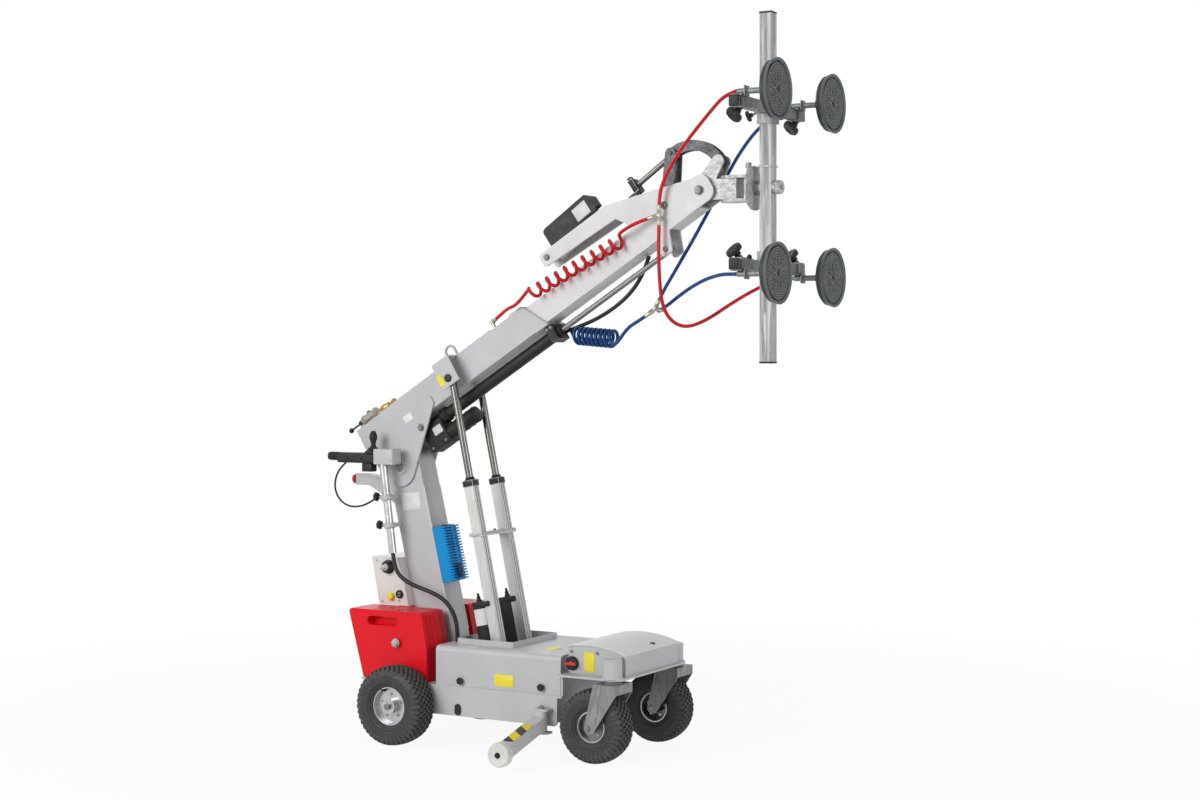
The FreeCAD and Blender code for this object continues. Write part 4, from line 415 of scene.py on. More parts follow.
class Form:
    """Gathers shapes into one mesh, which becomes one piece."""

    def __init__(self):
        self.bm = bmesh.new()

    def loft(self, rings):
        """Joins each closed ring of points to the next and closes both ends."""
        rows = [[self.bm.verts.new(point) for point in ring] for ring in rings]
        for a, b in zip(rows, rows[1:]):
            for i in range(len(a)):
                j = (i + 1) % len(a)
                self.bm.faces.new((a[i], a[j], b[j], b[i]))
        self.bm.faces.new(rows[0])
        self.bm.faces.new(rows[-1])
        return self

    def spin(self, centre, axis, profile, steps=48, lobes=0, depth=0.0):
        """Turns a profile of (distance along the axis, radius) about the axis."""
        axis = Vector(axis).normalized()
        first = axis.orthogonal().normalized()
        second = axis.cross(first)
        rings = []
        for place, radius in profile:
            core = Vector(centre) + axis * place
            if radius == 0:
                rings.append([self.bm.verts.new(core)])
                continue
            ring = []
            for k in range(steps):
                turn = 2 * math.pi * k / steps
                r = radius * (1 + depth * math.cos(lobes * turn))
                way = first * math.cos(turn) + second * math.sin(turn)
                ring.append(self.bm.verts.new(core + way * r))
            rings.append(ring)
        for a, b in zip(rings, rings[1:]):
            for k in range(steps):
                n = (k + 1) % steps
                corners = [a[k % len(a)], a[n % len(a)], b[n % len(b)], b[k % len(b)]]
                face = [v for i, v in enumerate(corners) if v not in corners[:i]]
                if len(face) > 2:
                    self.bm.faces.new(face)
        return self

    def turn(self, centre, axis, shares, tall, wide, *steps):
        """Spins a profile given in shares of a height and of a radius."""
        return self.spin(centre, axis, [(d * tall, r * wide) for d, r in shares], *steps)

    def block(self, centre, size, chamfer, axes=None, steps=2):
        """A box with rounded edges, lying along the given axes."""
        made = bmesh.ops.create_cube(self.bm, size=1.0)["verts"]
        turn = Matrix(axes).transposed().to_4x4() if axes else Matrix()
        move = Matrix.Translation(centre) @ turn @ Matrix.Diagonal((*size, 1.0))
        bmesh.ops.transform(self.bm, matrix=move, verts=made)
        edges = list(dict.fromkeys(e for v in made for e in v.link_edges))
        bmesh.ops.bevel(self.bm, geom=edges, offset=chamfer, segments=steps, profile=0.5, affect="EDGES")
        return self

    def plate(self, centre, normal, up, wide, tall, thick=0.0016, corner_share=0.12):
        """A thin bare plate with rounded corners, lying on a face."""
        normal = Vector(normal).normalized()
        up = (Vector(up) - normal * Vector(up).dot(normal)).normalized()
        across = up.cross(normal)
        corner = min(wide, tall) * corner_share
        outline = []
        for sx, sy, start in ((1, 1, 0), (-1, 1, 1), (-1, -1, 2), (1, -1, 3)):
            for k in range(5):
                turn = (start + k / 4) * math.pi / 2
                outline.append((sx * (wide / 2 - corner) + math.cos(turn) * corner,
                                sy * (tall / 2 - corner) + math.sin(turn) * corner))
        layers = ((-thick * 0.3, 1.0), (thick * 0.7, 1.0), (thick, 0.985))
        return self.loft([Vector(centre) + across * (x * s) + up * (y * s) + normal * d for x, y in outline]
                         for d, s in layers)

    def bolt(self, centre, axis, size, washer=True):
        """A hexagon head on its washer; the centre lies on the face under it."""
        base = 0.0
        if washer:
            base = size * 0.28
            self.turn(centre, axis, washer_shares, base, size, 24)
        tall = base + size * 0.75
        stud = size * 0.3
        head = ((base, 0), (base, size), (tall * 0.86, size), (tall, size * 0.84), (tall, stud),
                (tall + size * 0.18, stud), (tall + size * 0.24, 0))
        return self.spin(centre, axis, head, 6)

    def knob(self, centre, axis, radius, tall, lobes=6, depth=0.09):
        """A lobed hand knob on a short boss."""
        self.turn(centre, axis, boss_shares, tall, radius, 24)
        return self.turn(centre, axis, knob_shares, tall, radius, 8 * lobes, lobes, depth)

    def fitting(self, centre, axis, length):
        """A ribbed hose tail with its hexagon nut."""
        self.turn(centre, axis, tail_shares, length, fitting_radius, 20)
        return self.turn(centre, axis, nut_shares, length, fitting_radius, 6)

    def piece(self, name, body, finish, slot=None, smooth=38.0):
        bmesh.ops.remove_doubles(self.bm, verts=self.bm.verts, dist=1e-6)
        bmesh.ops.recalc_face_normals(self.bm, faces=self.bm.faces)
        mesh = bpy.data.meshes.new(name)
        self.bm.to_mesh(mesh)
        self.bm.free()
        return settle(name, smoothed(mesh, smooth), body, finish)


# Cords

hose_diameter = 0.014
cable_diameter = 0.016
conduit_diameter = 0.017
lead_diameter = 0.008
hose_overlap = 0.012
fitting_radius = 0.0095
coil_points = 14
coil_fullness = 1.026
red_coil_radius = 0.023
red_coil_turns = 10
blue_coil_radius = 0.031
blue_coil_turns = 8.5


def route_curve(name, points, radius):
    curve = bpy.data.curves.new(name, "CURVE")
    curve.dimensions = "3D"
    spline = curve.splines.new("NURBS")
    spline.points.add(len(points) - 1)
    for knot, point in zip(spline.points, points):
        knot.co = (*point, 1.0)
    spline.order_u = 3
    spline.use_endpoint_u = True
    curve.resolution_u = 6
    curve.bevel_depth = radius
    curve.bevel_resolution = 4
    curve.use_fill_caps = True
    obj = bpy.data.objects.new(name, curve)
    scene.collection.objects.link(obj)
    return obj


def mesh_of(curve_object):
    bpy.context.view_layer.update()
    graph = bpy.context.evaluated_depsgraph_get()
    mesh = bpy.data.meshes.new_from_object(curve_object.evaluated_get(graph))
    curve = curve_object.data
    bpy.data.objects.remove(curve_object)
    bpy.data.curves.remove(curve)
    return mesh


def tube(name, points, diameter, finish):
    """A cord as a mesh, with the points that its line follows."""
    line = mesh_of(route_curve(name + "_line", points, 0.0))
    path = [tuple(v.co) for v in line.vertices]
    bpy.data.meshes.remove(line)
    mesh = mesh_of(route_curve(name + "_tube", points, diameter / 2))
    mesh.materials.clear()
    return settle(name, smoothed(mesh, 50), None, finish), path


def coil_route(lead_in, ends, radius, turns, side, lead_out):
    """A curly hose: its lead, a helix between two ends and its other lead."""
    start, stop = ends
    axis = stop - start
    lean = axis.normalized()
    first = (side - lean * side.dot(lean)).normalized()
    second = lean.cross(first)
    wide = radius * coil_fullness

    def turn_point(u):
        turn = 2 * math.pi * u
        return start + axis * (u / turns) + (first * math.cos(turn) + second * math.sin(turn)) * wide

    def heading(u):
        turn = 2 * math.pi * u
        return second * math.cos(turn) - first * math.sin(turn)

    steps = int(turns * coil_points)
    knots = [turn_point(turns * k / steps) for k in range(steps + 1)]
    entry = knots[0] - (heading(0) + lean) * radius
    leave = knots[-1] + (heading(turns) + lean) * radius
    return lead_in + [entry] + knots + [leave] + lead_out


def lengthened(points):
    """The route with its ends run a little way into their fittings."""
    first = points[0] + (points[0] - points[1]).normalized() * hose_overlap
    last = points[-1] + (points[-1] - points[-2]).normalized() * hose_overlap
    return [first] + points[1:-1] + [last]


red_lead_in = [
    at(0.297, -0.051, 1.693), at(0.332, -0.055, 1.718), at(0.374, -0.078, 1.736), at(0.422, -0.098, 1.746)]
red_coil_ends = (at(0.486, -0.085, 1.793), at(0.894, -0.085, 1.990))
red_lead_out = [at(0.938, -0.100, 2.042), at(0.978, -0.088, 2.062), at(1.018, -0.080, 2.074)]
red_tee = at(1.056, -0.078, 2.084)
red_up = [
    at(1.056, -0.078, 2.112), at(1.058, -0.079, 2.158), at(1.076, -0.083, 2.212), at(1.118, -0.096, 2.270),
    at(1.180, -0.120, 2.336), at(1.264, -0.156, 2.404), at(1.350, -0.198, 2.466), at(1.414, -0.236, 2.502),
    at(1.460, -0.250, 2.510)]
red_down = [
    at(1.056, -0.078, 2.056), at(1.055, -0.080, 1.985), at(1.058, -0.084, 1.900), at(1.064, -0.086, 1.812),
    at(1.074, -0.084, 1.736), at(1.098, -0.062, 1.678), at(1.140, -0.018, 1.652), at(1.196, 0.046, 1.682),
    at(1.262, 0.122, 1.746), at(1.332, 0.196, 1.804), at(1.402, 0.240, 1.838), at(1.460, 0.250, 1.844)]
blue_lead_in = [at(0.532, 0.075, 1.674), at(0.568, 0.073, 1.668)]
blue_coil_ends = (at(0.634, 0.022, 1.626), at(0.828, -0.020, 1.612))
blue_lead_out = [at(0.898, -0.044, 1.654), at(0.940, -0.032, 1.680), at(0.976, -0.024, 1.704)]
blue_tee = at(1.008, -0.020, 1.726)
blue_up = [
    at(1.018, -0.016, 1.750), at(1.036, -0.008, 1.794), at(1.066, 0.008, 1.852), at(1.104, 0.026, 1.924),
    at(1.144, 0.046, 2.002), at(1.184, 0.068, 2.086), at(1.226, 0.084, 2.170), at(1.266, 0.100, 2.254),
    at(1.304, 0.126, 2.334), at(1.344, 0.170, 2.410), at(1.384, 0.216, 2.464), at(1.418, 0.241, 2.497),
    at(1.460, 0.250, 2.510)]
blue_down = [
    at(1.034, -0.026, 1.722), at(1.070, -0.038, 1.738), at(1.122, -0.062, 1.766), at(1.196, -0.100, 1.800),
    at(1.282, -0.152, 1.828), at(1.362, -0.204, 1.842), at(1.422, -0.242, 1.846), at(1.460, -0.250, 1.844)]
boom_cable = [
    at(0.571, 0.036, 1.642), at(0.606, 0.036, 1.653), at(0.656, 0.035, 1.669), at(0.713, 0.033, 1.690),
    at(0.776, 0.031, 1.721), at(0.835, 0.029, 1.759), at(0.882, 0.028, 1.801), at(0.917, 0.027, 1.846),
    at(0.941, 0.026, 1.892), at(0.957, 0.026, 1.934)]
conduit = [
    at(-0.153, -0.130, 0.737), at(-0.146, -0.132, 0.698), at(-0.124, -0.138, 0.656),
    at(-0.080, -0.142, 0.626), at(-0.018, -0.142, 0.606), at(0.050, -0.140, 0.588),
    at(0.110, -0.136, 0.560), at(0.148, -0.130, 0.510), at(0.163, -0.126, 0.452), at(0.163, -0.126, 0.396)]
stick_cable = [
    at(-0.392, -0.130, 1.102), at(-0.416, -0.132, 1.082), at(-0.436, -0.136, 1.050),
    at(-0.443, -0.140, 1.012), at(-0.432, -0.144, 0.972), at(-0.402, -0.146, 0.938),
    at(-0.360, -0.147, 0.922), at(-0.316, -0.146, 0.922), at(-0.274, -0.142, 0.934),
    at(-0.238, -0.138, 0.956)]
red_coil = coil_route(
    red_lead_in, red_coil_ends, red_coil_radius, red_coil_turns, Z_AXIS, red_lead_out)
blue_coil = coil_route(
    blue_lead_in, blue_coil_ends, blue_coil_radius, blue_coil_turns, Y_AXIS, blue_lead_out)
telescoping = ("boom_outer", "boom_inner")
tilting = ("boom_inner", "knuckle")
pole_sliding = ("handle_pole", "chassis")


def hose_cord(colour, route, length, bodies, lay="hanging", far_end="object"):
    finish = "hose_" + colour
    return lengthened(route), hose_diameter, length, finish, colour + "_hoses", bodies, lay, far_end


def cable_cord(route, diameter, length, node, bodies):
    return route, diameter, length, "cable", node, bodies, "hanging", "object"


cords = {
    "red_coil_hose": hose_cord("red", red_coil, 1.942, telescoping, "coiled", "fitting"),
    "red_upper_hose": hose_cord("red", red_up, 0.627, tilting),
    "red_lower_hose": hose_cord("red", red_down, 0.921, tilting),
    "blue_coil_hose": hose_cord("blue", blue_coil, 2.019, telescoping, "coiled", "fitting"),
    "blue_upper_hose": hose_cord("blue", blue_up, 0.941, tilting),
    "blue_lower_hose": hose_cord("blue", blue_down, 0.505, tilting),
    "boom_power_cable": cable_cord(boom_cable, cable_diameter, 0.507, "boom_cable", telescoping),
    "pole_conduit": cable_cord(conduit, conduit_diameter, 0.518, "control_cables", pole_sliding),
    "stick_lead": cable_cord(stick_cable, lead_diameter, 0.367, "control_cables", ("handle_pole",)),
}


def tee(name, hub, arms, replaced):
    """A branch fitting with a hose tail on each arm."""
    form = Form()
    neck_radius = fitting_radius * 0.72
    for arm in arms:
        way = (arm - hub).normalized()
        far = (arm - hub).length + hose_overlap
        neck = far * 0.3
        form.spin(hub, way, ((0, 0), (0, neck_radius), (neck, neck_radius), (neck, 0)), 20)
        form.fitting(hub + way * far, -way, far * 0.85)
    piece = form.piece(name, "boom_inner", "brass")
    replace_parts(piece, replaced)
    return piece


def make_cords():
    red_arms = (red_lead_out[-1], red_up[0], red_down[0])
    blue_arms = (blue_lead_out[-1], blue_up[0], blue_down[0])
    tees = {
        "red_coil_hose": tee("red_tee", red_tee, red_arms, "red_hoses"),
        "blue_coil_hose": tee("blue_tee", blue_tee, blue_arms, "blue_hoses"),
    }
    for name, (route, wide, length, finish, node, bodies, lay, far_end) in cords.items():
        piece, path = tube(name, route, wide, finish)
        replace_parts(piece, node)
        if len(bodies) == 1:
            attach(piece, bodies[0])
        else:
            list(bodies)
            tuple(route[0])
            tuple(route[-1])
            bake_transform(piece)
        tuple(path[0])
        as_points(path)


# Camera, floor and light

view_turn = 29.8
camera_place = (4.0895, -6.846, 1.549)
photo_width = 1200
focal_pixels = 2006
horizon_drop = 45
sensor = 36.0
floor_reach = 4.5
floor_sink = 0.0005
floor_colour = (0.86, 0.86, 0.86, 1.0)
floor_glow = 0.92
white = (1.0, 1.0, 1.0, 1.0)
sky_colour = (0.97, 0.98, 1.0, 1.0)
sky_strength = 0.3

# name: (place, aim, size, power)
lamps = {
    "key": ((-2.0, -5.6, 3.0), (0, 0, 1.1), 4.0, 250),
    "fill": ((5.6, -0.6, 1.9), (-0.4, 0, 0.7), 3.0, 100),
    "top": ((0.4, 1.4, 6.0), (0, 0, 0.8), 3.4, 6),
    "back": ((-3.4, 3.6, 3.2), (0, 0, 1.0), 2.6, 40),
}


def make_camera():
    data = bpy.data.cameras.new("camera")
    data.sensor_width = sensor
    data.lens = sensor * focal_pixels / photo_width
    data.shift_y = -horizon_drop / photo_width
    data.clip_end = 100
    camera = bpy.data.objects.new("camera", data)
    camera.location = camera_place
    camera.rotation_euler = (math.pi / 2, 0, math.radians(view_turn))
    scene.collection.objects.link(camera)
    scene.camera = camera


def seen_directly(tree):
    """One for rays from the camera, a mirror or glass, and nought for the light itself."""
    path = add_node(tree, "ShaderNodeLightPath")
    total = path.outputs["Is Camera Ray"]
    for kind in ("Is Glossy Ray", "Is Transmission Ray"):
        either = {0: total, 1: path.outputs[kind]}
        total = add_node(tree, "ShaderNodeMath", either, operation="MAXIMUM").outputs[0]
    return total


def blended(tree, factor, first, second):
    sockets = {0: factor, 1: first.outputs[0], 2: second.outputs[0]}
    return add_node(tree, "ShaderNodeMixShader", sockets)


def make_world():
    """Soft pale light all round, which shows itself as white."""
    world = bpy.data.worlds.new("studio")
    scene.world = world
    world.use_nodes = True
    tree = world.node_tree
    soft = tree.nodes["Background"]
    soft.inputs["Color"].default_value = sky_colour
    soft.inputs["Strength"].default_value = sky_strength
    shown = add_node(tree, "ShaderNodeBackground", {"Color": white})
    surface = blended(tree, seen_directly(tree), soft, shown)
    tree.links.new(surface.outputs[0], tree.nodes["World Output"].inputs["Surface"])


def floor_material():
    """A matt floor that glows nearly white, keeps shadows and fades out with distance."""
    mat = bpy.data.materials.new("studio_floor")
    mat.use_nodes = True
    tree = mat.node_tree
    tree.nodes.remove(tree.nodes["Principled BSDF"])
    matt = add_node(tree, "ShaderNodeBsdfDiffuse", {"Color": floor_colour})
    glow = add_node(tree, "ShaderNodeEmission", {"Color": white})
    share = add_node(tree, "ShaderNodeMath", {0: seen_directly(tree), 1: floor_glow}, operation="MULTIPLY")
    surface = blended(tree, share.outputs[0], matt, glow)
    clear = add_node(tree, "ShaderNodeBsdfTransparent")
    place = add_node(tree, "ShaderNodeTexCoord").outputs["Object"]
    reach = add_node(tree, "ShaderNodeVectorMath", {0: place}, operation="LENGTH").outputs["Value"]
    sockets = {"Value": reach, "From Min": floor_reach * 0.35, "From Max": floor_reach * 0.95}
    fade = add_node(tree, "ShaderNodeMapRange", sockets, interpolation_type="SMOOTHSTEP")
    edge = blended(tree, fade.outputs["Result"], surface, clear)
    tree.links.new(edge.outputs[0], tree.nodes["Material Output"].inputs["Surface"])
    return mat


def make_floor():
    mesh = bpy.data.meshes.new("floor")
    signs = ((-1, -1), (1, -1), (1, 1), (-1, 1))
    corners = [(x * floor_reach, y * floor_reach, -floor_sink) for x, y in signs]
    mesh.from_pydata(corners, [], [(0, 1, 2, 3)])
    mesh.materials.append(floor_material())
    floor = bpy.data.objects.new("floor", mesh)
    scene.collection.objects.link(floor)


def make_lamps():
    for name, (place, aim, size, power) in lamps.items():
        data = bpy.data.lights.new(name, "AREA")
        data.shape = "DISK"
        data.size = size
        data.energy = power
        obj = bpy.data.objects.new(name, data)
        obj.location = place
        obj.rotation_euler = (Vector(aim) - Vector(place)).to_track_quat("-Z", "Y").to_euler()
        scene.collection.objects.link(obj)


# Wheels

rear_bead = 0.076
caster_bead = 0.058
tread_depth = 0.007
tread_sink = 0.0004
lug_reach = 0.34
shoulder_share = 0.84
shoulder_rise = 0.93
tread_share = 1.44
# Shares of the pitch round the tyre.
block_span = 0.7
block_skew = 0.12
lug_span = 0.62
# Shares of the pitch across the tyre and of its half width.
block_half = 0.41
lug_inner = 0.74
lug_outer = 0.995
# (blocks round the tyre, rows across it)
rear_tread = (42, 6)
caster_tread = (40, 5)
# Shares of the half width and of the height over the bead, from the bead up to the shoulder.
wall_shares = (
    (0.72, 0.0), (0.78, 0.03), (0.8, 0.1), (0.86, 0.12), (0.87, 0.16), (0.93, 0.22), (0.97, 0.24),
    (0.975, 0.29), (0.985, 0.42), (0.98, 0.56), (0.985, 0.58), (0.975, 0.61), (0.93, 0.72))
crown_shares = (shoulder_share, 0.6, 0.3, 0, -0.3, -0.6, -shoulder_share)
# Shares of a block's span, with how deep each corner lies under the crown.
block_section = (
    (-0.56, tread_depth * 1.5), (-0.42, tread_sink), (0.42, tread_sink), (0.56, tread_depth * 1.5))


def tyre(node, body, bead, pitch_count, rows):
    """A tyre with staggered rows of moulded blocks and lugs down its shoulders."""
    centre = middle(node)
    size = size_of(node)
    half = size.y / 2
    outer = size.z / 2
    height = outer - bead
    shoulder_y = half * shoulder_share
    shoulder_r = bead + height * shoulder_rise

    def crown(y):
        return outer - (outer - shoulder_r) * (y / shoulder_y) ** 2

    wall = [(y * half, bead + r * height) for y, r in wall_shares]
    sunk = [(y * half, crown(y * half) - tread_depth) for y in crown_shares]
    profile = wall + sunk + [(-y, r) for y, r in reversed(wall)]
    # The carcass rubber is darker than the tread blocks: painted shade in the grooves between them.
    carcass = Form().spin(centre, Y_AXIS, profile + [profile[0]], 88)
    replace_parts(carcass.piece(node + "_carcass", body, "tyre", smooth=30.0), node)

    tread = Form()
    step = 2 * math.pi / pitch_count
    row_pitch = half * tread_share / rows
    row_half = row_pitch * block_half

    def corner(turn, y, depth):
        if abs(y) <= shoulder_y:
            r = crown(y) - depth
        else:
            over = (abs(y) - shoulder_y) / (half - shoulder_y)
            r = shoulder_r - over * height * lug_reach - depth * 0.4
        return centre + Vector((math.cos(turn) * r, y, math.sin(turn) * r))

    def lump(turn, span, skew, y0, y1, slices):
        """A block with sloping sides that follows the crown, leaning along the tread."""
        rings = []
        for k in range(slices + 1):
            y = y0 + (y1 - y0) * k / slices
            mid = turn + skew * (k / slices - 0.5)
            rings.append([corner(mid + span * share, y, depth) for share, depth in block_section])
        tread.loft(rings)

    for k in range(pitch_count):
        for n in range(rows):
            turn = (k + 0.5 * (n % 2)) * step
            y = (n + 0.5 - rows / 2) * row_pitch
            lump(turn, step * block_span, step * block_skew, y - row_half, y + row_half, 2)
        for sign in (-1, 1):
            turn = (k + 0.5 * (rows % 2 if sign > 0 else 1)) * step
            lump(turn, step * lug_span, 0.0, sign * half * lug_inner, sign * half * lug_outer, 4)
    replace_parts(tread.piece(node + "_tread", body, "tread", smooth=20.0), node)


# Steps outward from a face and from a radius.
rear_edge = (
    (-0.004, -0.005), (-0.004, 0.001), (0, 0.0035), (0.004, 0.002), (0.004, -0.003), (-0.004, -0.005))
rear_ring = ((0, -0.006), (0.003, -0.003), (0.003, 0.003), (0, 0.006))
caster_edge = (
    (-0.004, -0.005), (-0.004, 0.001), (0, 0.003), (0.003, 0.001), (0.003, -0.003), (-0.004, -0.005))
hub_cap_radius = 0.02
hub_cap = ((0, 0), (0.003, 0), (0.006, -0.004), (0.006, -0.01), (0.003, -0.012), (0.003, -hub_cap_radius))
hub_cap_gap = 0.0005
valve_stem = (
    (0, 0.006), (0.004, 0.0055), (0.009, 0.004), (0.02, 0.0035), (0.02, 0.0045), (0.029, 0.0045),
    (0.031, 0.003), (0.031, 0))
valve_turn = 2.1
wheel_bolts = 5
rear_bolt_circle = 0.046
rear_bolt_size = 0.007
caster_bolt_circle = 0.036
caster_bolt_size = 0.0055


def stepped(steps, face, radius):
    return [(face + d, radius + r) for d, r in steps]


def wheel_ray(turn):
    return Vector((math.cos(turn), 0, math.sin(turn)))


def bolt_ring(form, centre, out, circle, start, size):
    for k in range(wheel_bolts):
        turn = 2 * math.pi * (k + start) / wheel_bolts
        form.bolt(centre + wheel_ray(turn) * circle, out, size)


def rear_rim_details(side, sign):
    """Bright rim edge, wheel bolts, hub cap and valve stem on the outward side."""
    node = "rear_rim_" + side
    body = "rear_wheel_" + side
    centre = middle(node)
    half = size_of(node).y / 2
    out = Y_AXIS * sign
    face = half * 0.31
    form = Form()
    form.spin(centre, out, stepped(rear_edge, half * 0.70, rear_bead), 72)
    form.spin(centre, out, stepped(rear_ring, face, rear_bead * 0.78), 72)
    form.piece(node + "_edge", body, "silver")
    form = Form()
    bolt_ring(form, centre + out * face, out, rear_bolt_circle, 0.3, rear_bolt_size)
    form.spin(centre, out, stepped(hub_cap, half * 0.78 + hub_cap_gap, hub_cap_radius), 40)
    form.piece(node + "_bolts", body, "zinc", "dark_metal")
    ray = wheel_ray(valve_turn)
    foot = centre + ray * (rear_bead * 0.86) + out * face
    lean = (out + ray * 0.25).normalized()
    Form().spin(foot, lean, valve_stem, 20).piece(node + "_valve_stem", body, "black")


def caster_rim_details(side, outward):
    """Bright rim edge and wheel bolts on one side of a caster."""
    node = "caster_rim_" + side
    centre = middle(node)
    half = size_of("caster_tyre_" + side).y / 2
    out = Y_AXIS * outward
    form = Form()
    form.spin(centre, out, stepped(caster_edge, half * 0.72, caster_bead), 64)
    bolt_ring(form, centre + out * (half * 0.33), out, caster_bolt_circle, 0.2, caster_bolt_size)
    name = node + ("_edge_out" if outward > 0 else "_edge_in")
    form.piece(name, "caster_wheel_" + side, "silver", "dark_metal")


def make_wheels():
    for side, sign in SIDES:
        tyre("rear_tyre_" + side, "rear_wheel_" + side, rear_bead, *rear_tread)
        rear_rim_details(side, sign)
        tyre("caster_tyre_" + side, "caster_wheel_" + side, caster_bead, *caster_tread)
        for outward in (-1, 1):
            caster_rim_details(side, outward)


# Suction cups, with distances along X from the plane of the lip

cup_profile = (
    (-0.066, 0), (-0.066, 0.032), (-0.064, 0.034), (-0.047, 0.034), (-0.043, 0.039), (-0.041, 0.046),
    (-0.041, 0.084), (-0.039, 0.09), (-0.036, 0.0965), (-0.03, 0.1015), (-0.028, 0.1055), (-0.016, 0.1075),
    (-0.0145, 0.1055), (-0.0085, 0.1045), (-0.0115, 0.1025), (-0.0115, 0.0965), (-0.0065, 0.0955),
    (-0.0065, 0.006), (-0.012, 0.0055), (-0.012, 0))
lip_profile = (
    (-0.0165, 0.1065), (-0.0135, 0.1095), (-0.004, 0.1135), (-0.0008, 0.114), (0, 0.1134),
    (-0.0012, 0.1098), (-0.0055, 0.1045), (-0.0085, 0.1035), (-0.0085, 0.1025), (-0.0165, 0.1065))
pip_profile = ((0, 0.0034), (0.0026, 0.0024), (0.0034, 0.0012), (0.0034, 0))
pip_foot = -0.0068
pip_ring_pitch = 0.0092
pip_spacing = 0.0094
spokes = 12
spoke_clear = 0.0028
spoke_end = 0.06
spoke_middle = 0.036
spoke_depth = -0.005
spoke_size = (0.04, 0.0026, 0.0052)
spoke_chamfer = 0.0007


def cup_pips(face):
    """Rings of small pips on the cup's floor, with bars running out between them."""
    rng = random.Random(7)
    form = Form()
    for ring in range(2, 11):
        radius = pip_ring_pitch * ring
        count = int(2 * math.pi * radius / pip_spacing)
        for k in range(count):
            turn = 2 * math.pi * (k + rng.random() * 0.25) / count + ring * 0.4
            spoke = (turn * (spokes / 2) / math.pi) % 1.0
            near = min(spoke, 1 - spoke) < spoke_clear / radius * (spokes / 2) / math.pi
            if near and radius < spoke_end:
                continue
            spot = face + Vector((pip_foot, math.cos(turn) * radius, math.sin(turn) * radius))
            form.spin(spot, X_AXIS, pip_profile, 7)
    for k in range(spokes):
        turn = 2 * math.pi * k / spokes
        way = Vector((0, math.cos(turn), math.sin(turn)))
        axes = (way, X_AXIS.cross(way), X_AXIS)
        form.block(face + X_AXIS * spoke_depth + way * spoke_middle, spoke_size, spoke_chamfer, axes, 1)
    return form


def make_cups():
    """One cup's pieces, and copies of them at the other three cups."""
    home = "upper_right"
    centre = middle("suction_cup_" + home)
    face = Vector((corners_of("suction_cup_" + home)[1].x, centre.y, centre.z))
    shell = Form().spin(face, X_AXIS, cup_profile, 96)
    pips = cup_pips(face)
    lip = Form().spin(face, X_AXIS, lip_profile, 96)
    for form, label, finish in ((shell, "body", "cup"), (pips, "pips", "pips"), (lip, "lip", "lip")):
        name = "cup_%s_" % label
        first = form.piece(name + home, "cup_" + home, finish, smooth=32.0)
        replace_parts(first, "suction_cup_" + home)
        for place in ("upper_left", "lower_right", "lower_left"):
            node = "suction_cup_" + place
            mesh = first.data.copy()
            mesh.transform(Matrix.Translation(middle(node) - centre))
            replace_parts(settle(name + place, mesh, "cup_" + place, finish), node)


# Suction bar and cross arms, with places counted from the bar's turning axis

bar = joint_place("rotate")
bar_plug = (0.051, 0.051, 0.008)
lock_neck = ((0, 0.013), (0.014, 0.013), (0.014, 0.02))
lock_wheel = (
    (0, 0), (0, 0.023), (0.003, 0.026), (0.019, 0.026), (0.022, 0.0235), (0.022, 0.011), (0.02, 0.009),
    (0.02, 0))
lock_nut = ((0, 0.008), (0.007, 0.008), (0.009, 0.006), (0.009, 0))
band_rise = 0.079
band_reach = 0.0265
band_size = (0.003, 0.056, 0.007)
band_tongue = (0.0225, 0.018, 0.004)
band_clip = (0.004, 0.018, 0.026)
latch_profile = (
    (0, 0), (0, 0.014), (0.006, 0.014), (0.007, 0.008), (0.036, 0.008), (0.037, 0.0115), (0.054, 0.0115),
    (0.056, 0.0095), (0.056, 0))
arm_rise = 0.297
arm_cap = (0.0405, 0.004, 0.0405)
arm_plug = (0.036, 0.018, 0.036)
arm_stud = ((0, 0.005), (0.04, 0.005), (0.04, 0))
clamp_stud = ((-0.004, 0), (-0.004, 0.0095), (0.006, 0.0095), (0.006, 0.0048), (0.034, 0.0048), (0.034, 0))
stem_collar = ((0, 0.0165), (0.003, 0.0145), (0.006, 0.0115))
stem_plate = (0.005, 0.04, 0.04)


def by_bar(x, y, z):
    return bar + Vector((x, y, z))


def make_bar():
    """End plugs, the turning lock with the band over it, and the yoke's latch pin."""
    low, high = corners_of("suction_bar")
    plugs = Form()
    for z in (high.z - bar_plug[2] / 2, low.z + bar_plug[2] / 2):
        plugs.block((bar.x, 0, z), bar_plug, 0.0015)
    plugs.piece("bar_end_plugs", "suction_frame", "black")
    lock = Form()
    lock.spin(by_bar(0.022, 0, 0), X_AXIS, lock_neck, 32)
    lock.spin(by_bar(0.035, 0, 0), X_AXIS, lock_wheel, 96, 24, 0.025)
    lock.spin(by_bar(0.055, 0, 0), X_AXIS, lock_nut, 6)
    thick, wide, tall = band_size
    for way in (-1, 1):
        lock.block(by_bar(way * band_reach, 0, band_rise), band_size, 0.0008)
        lock.block(by_bar(0, way * band_reach, band_rise), (wide, thick, tall), 0.0008)
    lock.block(by_bar(-0.0362, 0, band_rise), band_tongue, 0.0012)
    lock.block(by_bar(-0.0285, -0.008, band_rise - 0.007), band_clip, 0.0012)
    lock.piece("rotation_lock_knob", "suction_frame", "plate")
    latch = Form().spin(by_bar(-0.081, 0, 0.042), Z_AXIS, latch_profile, 32)
    latch.piece("yoke_latch_pin", "swing_yoke", "plate")


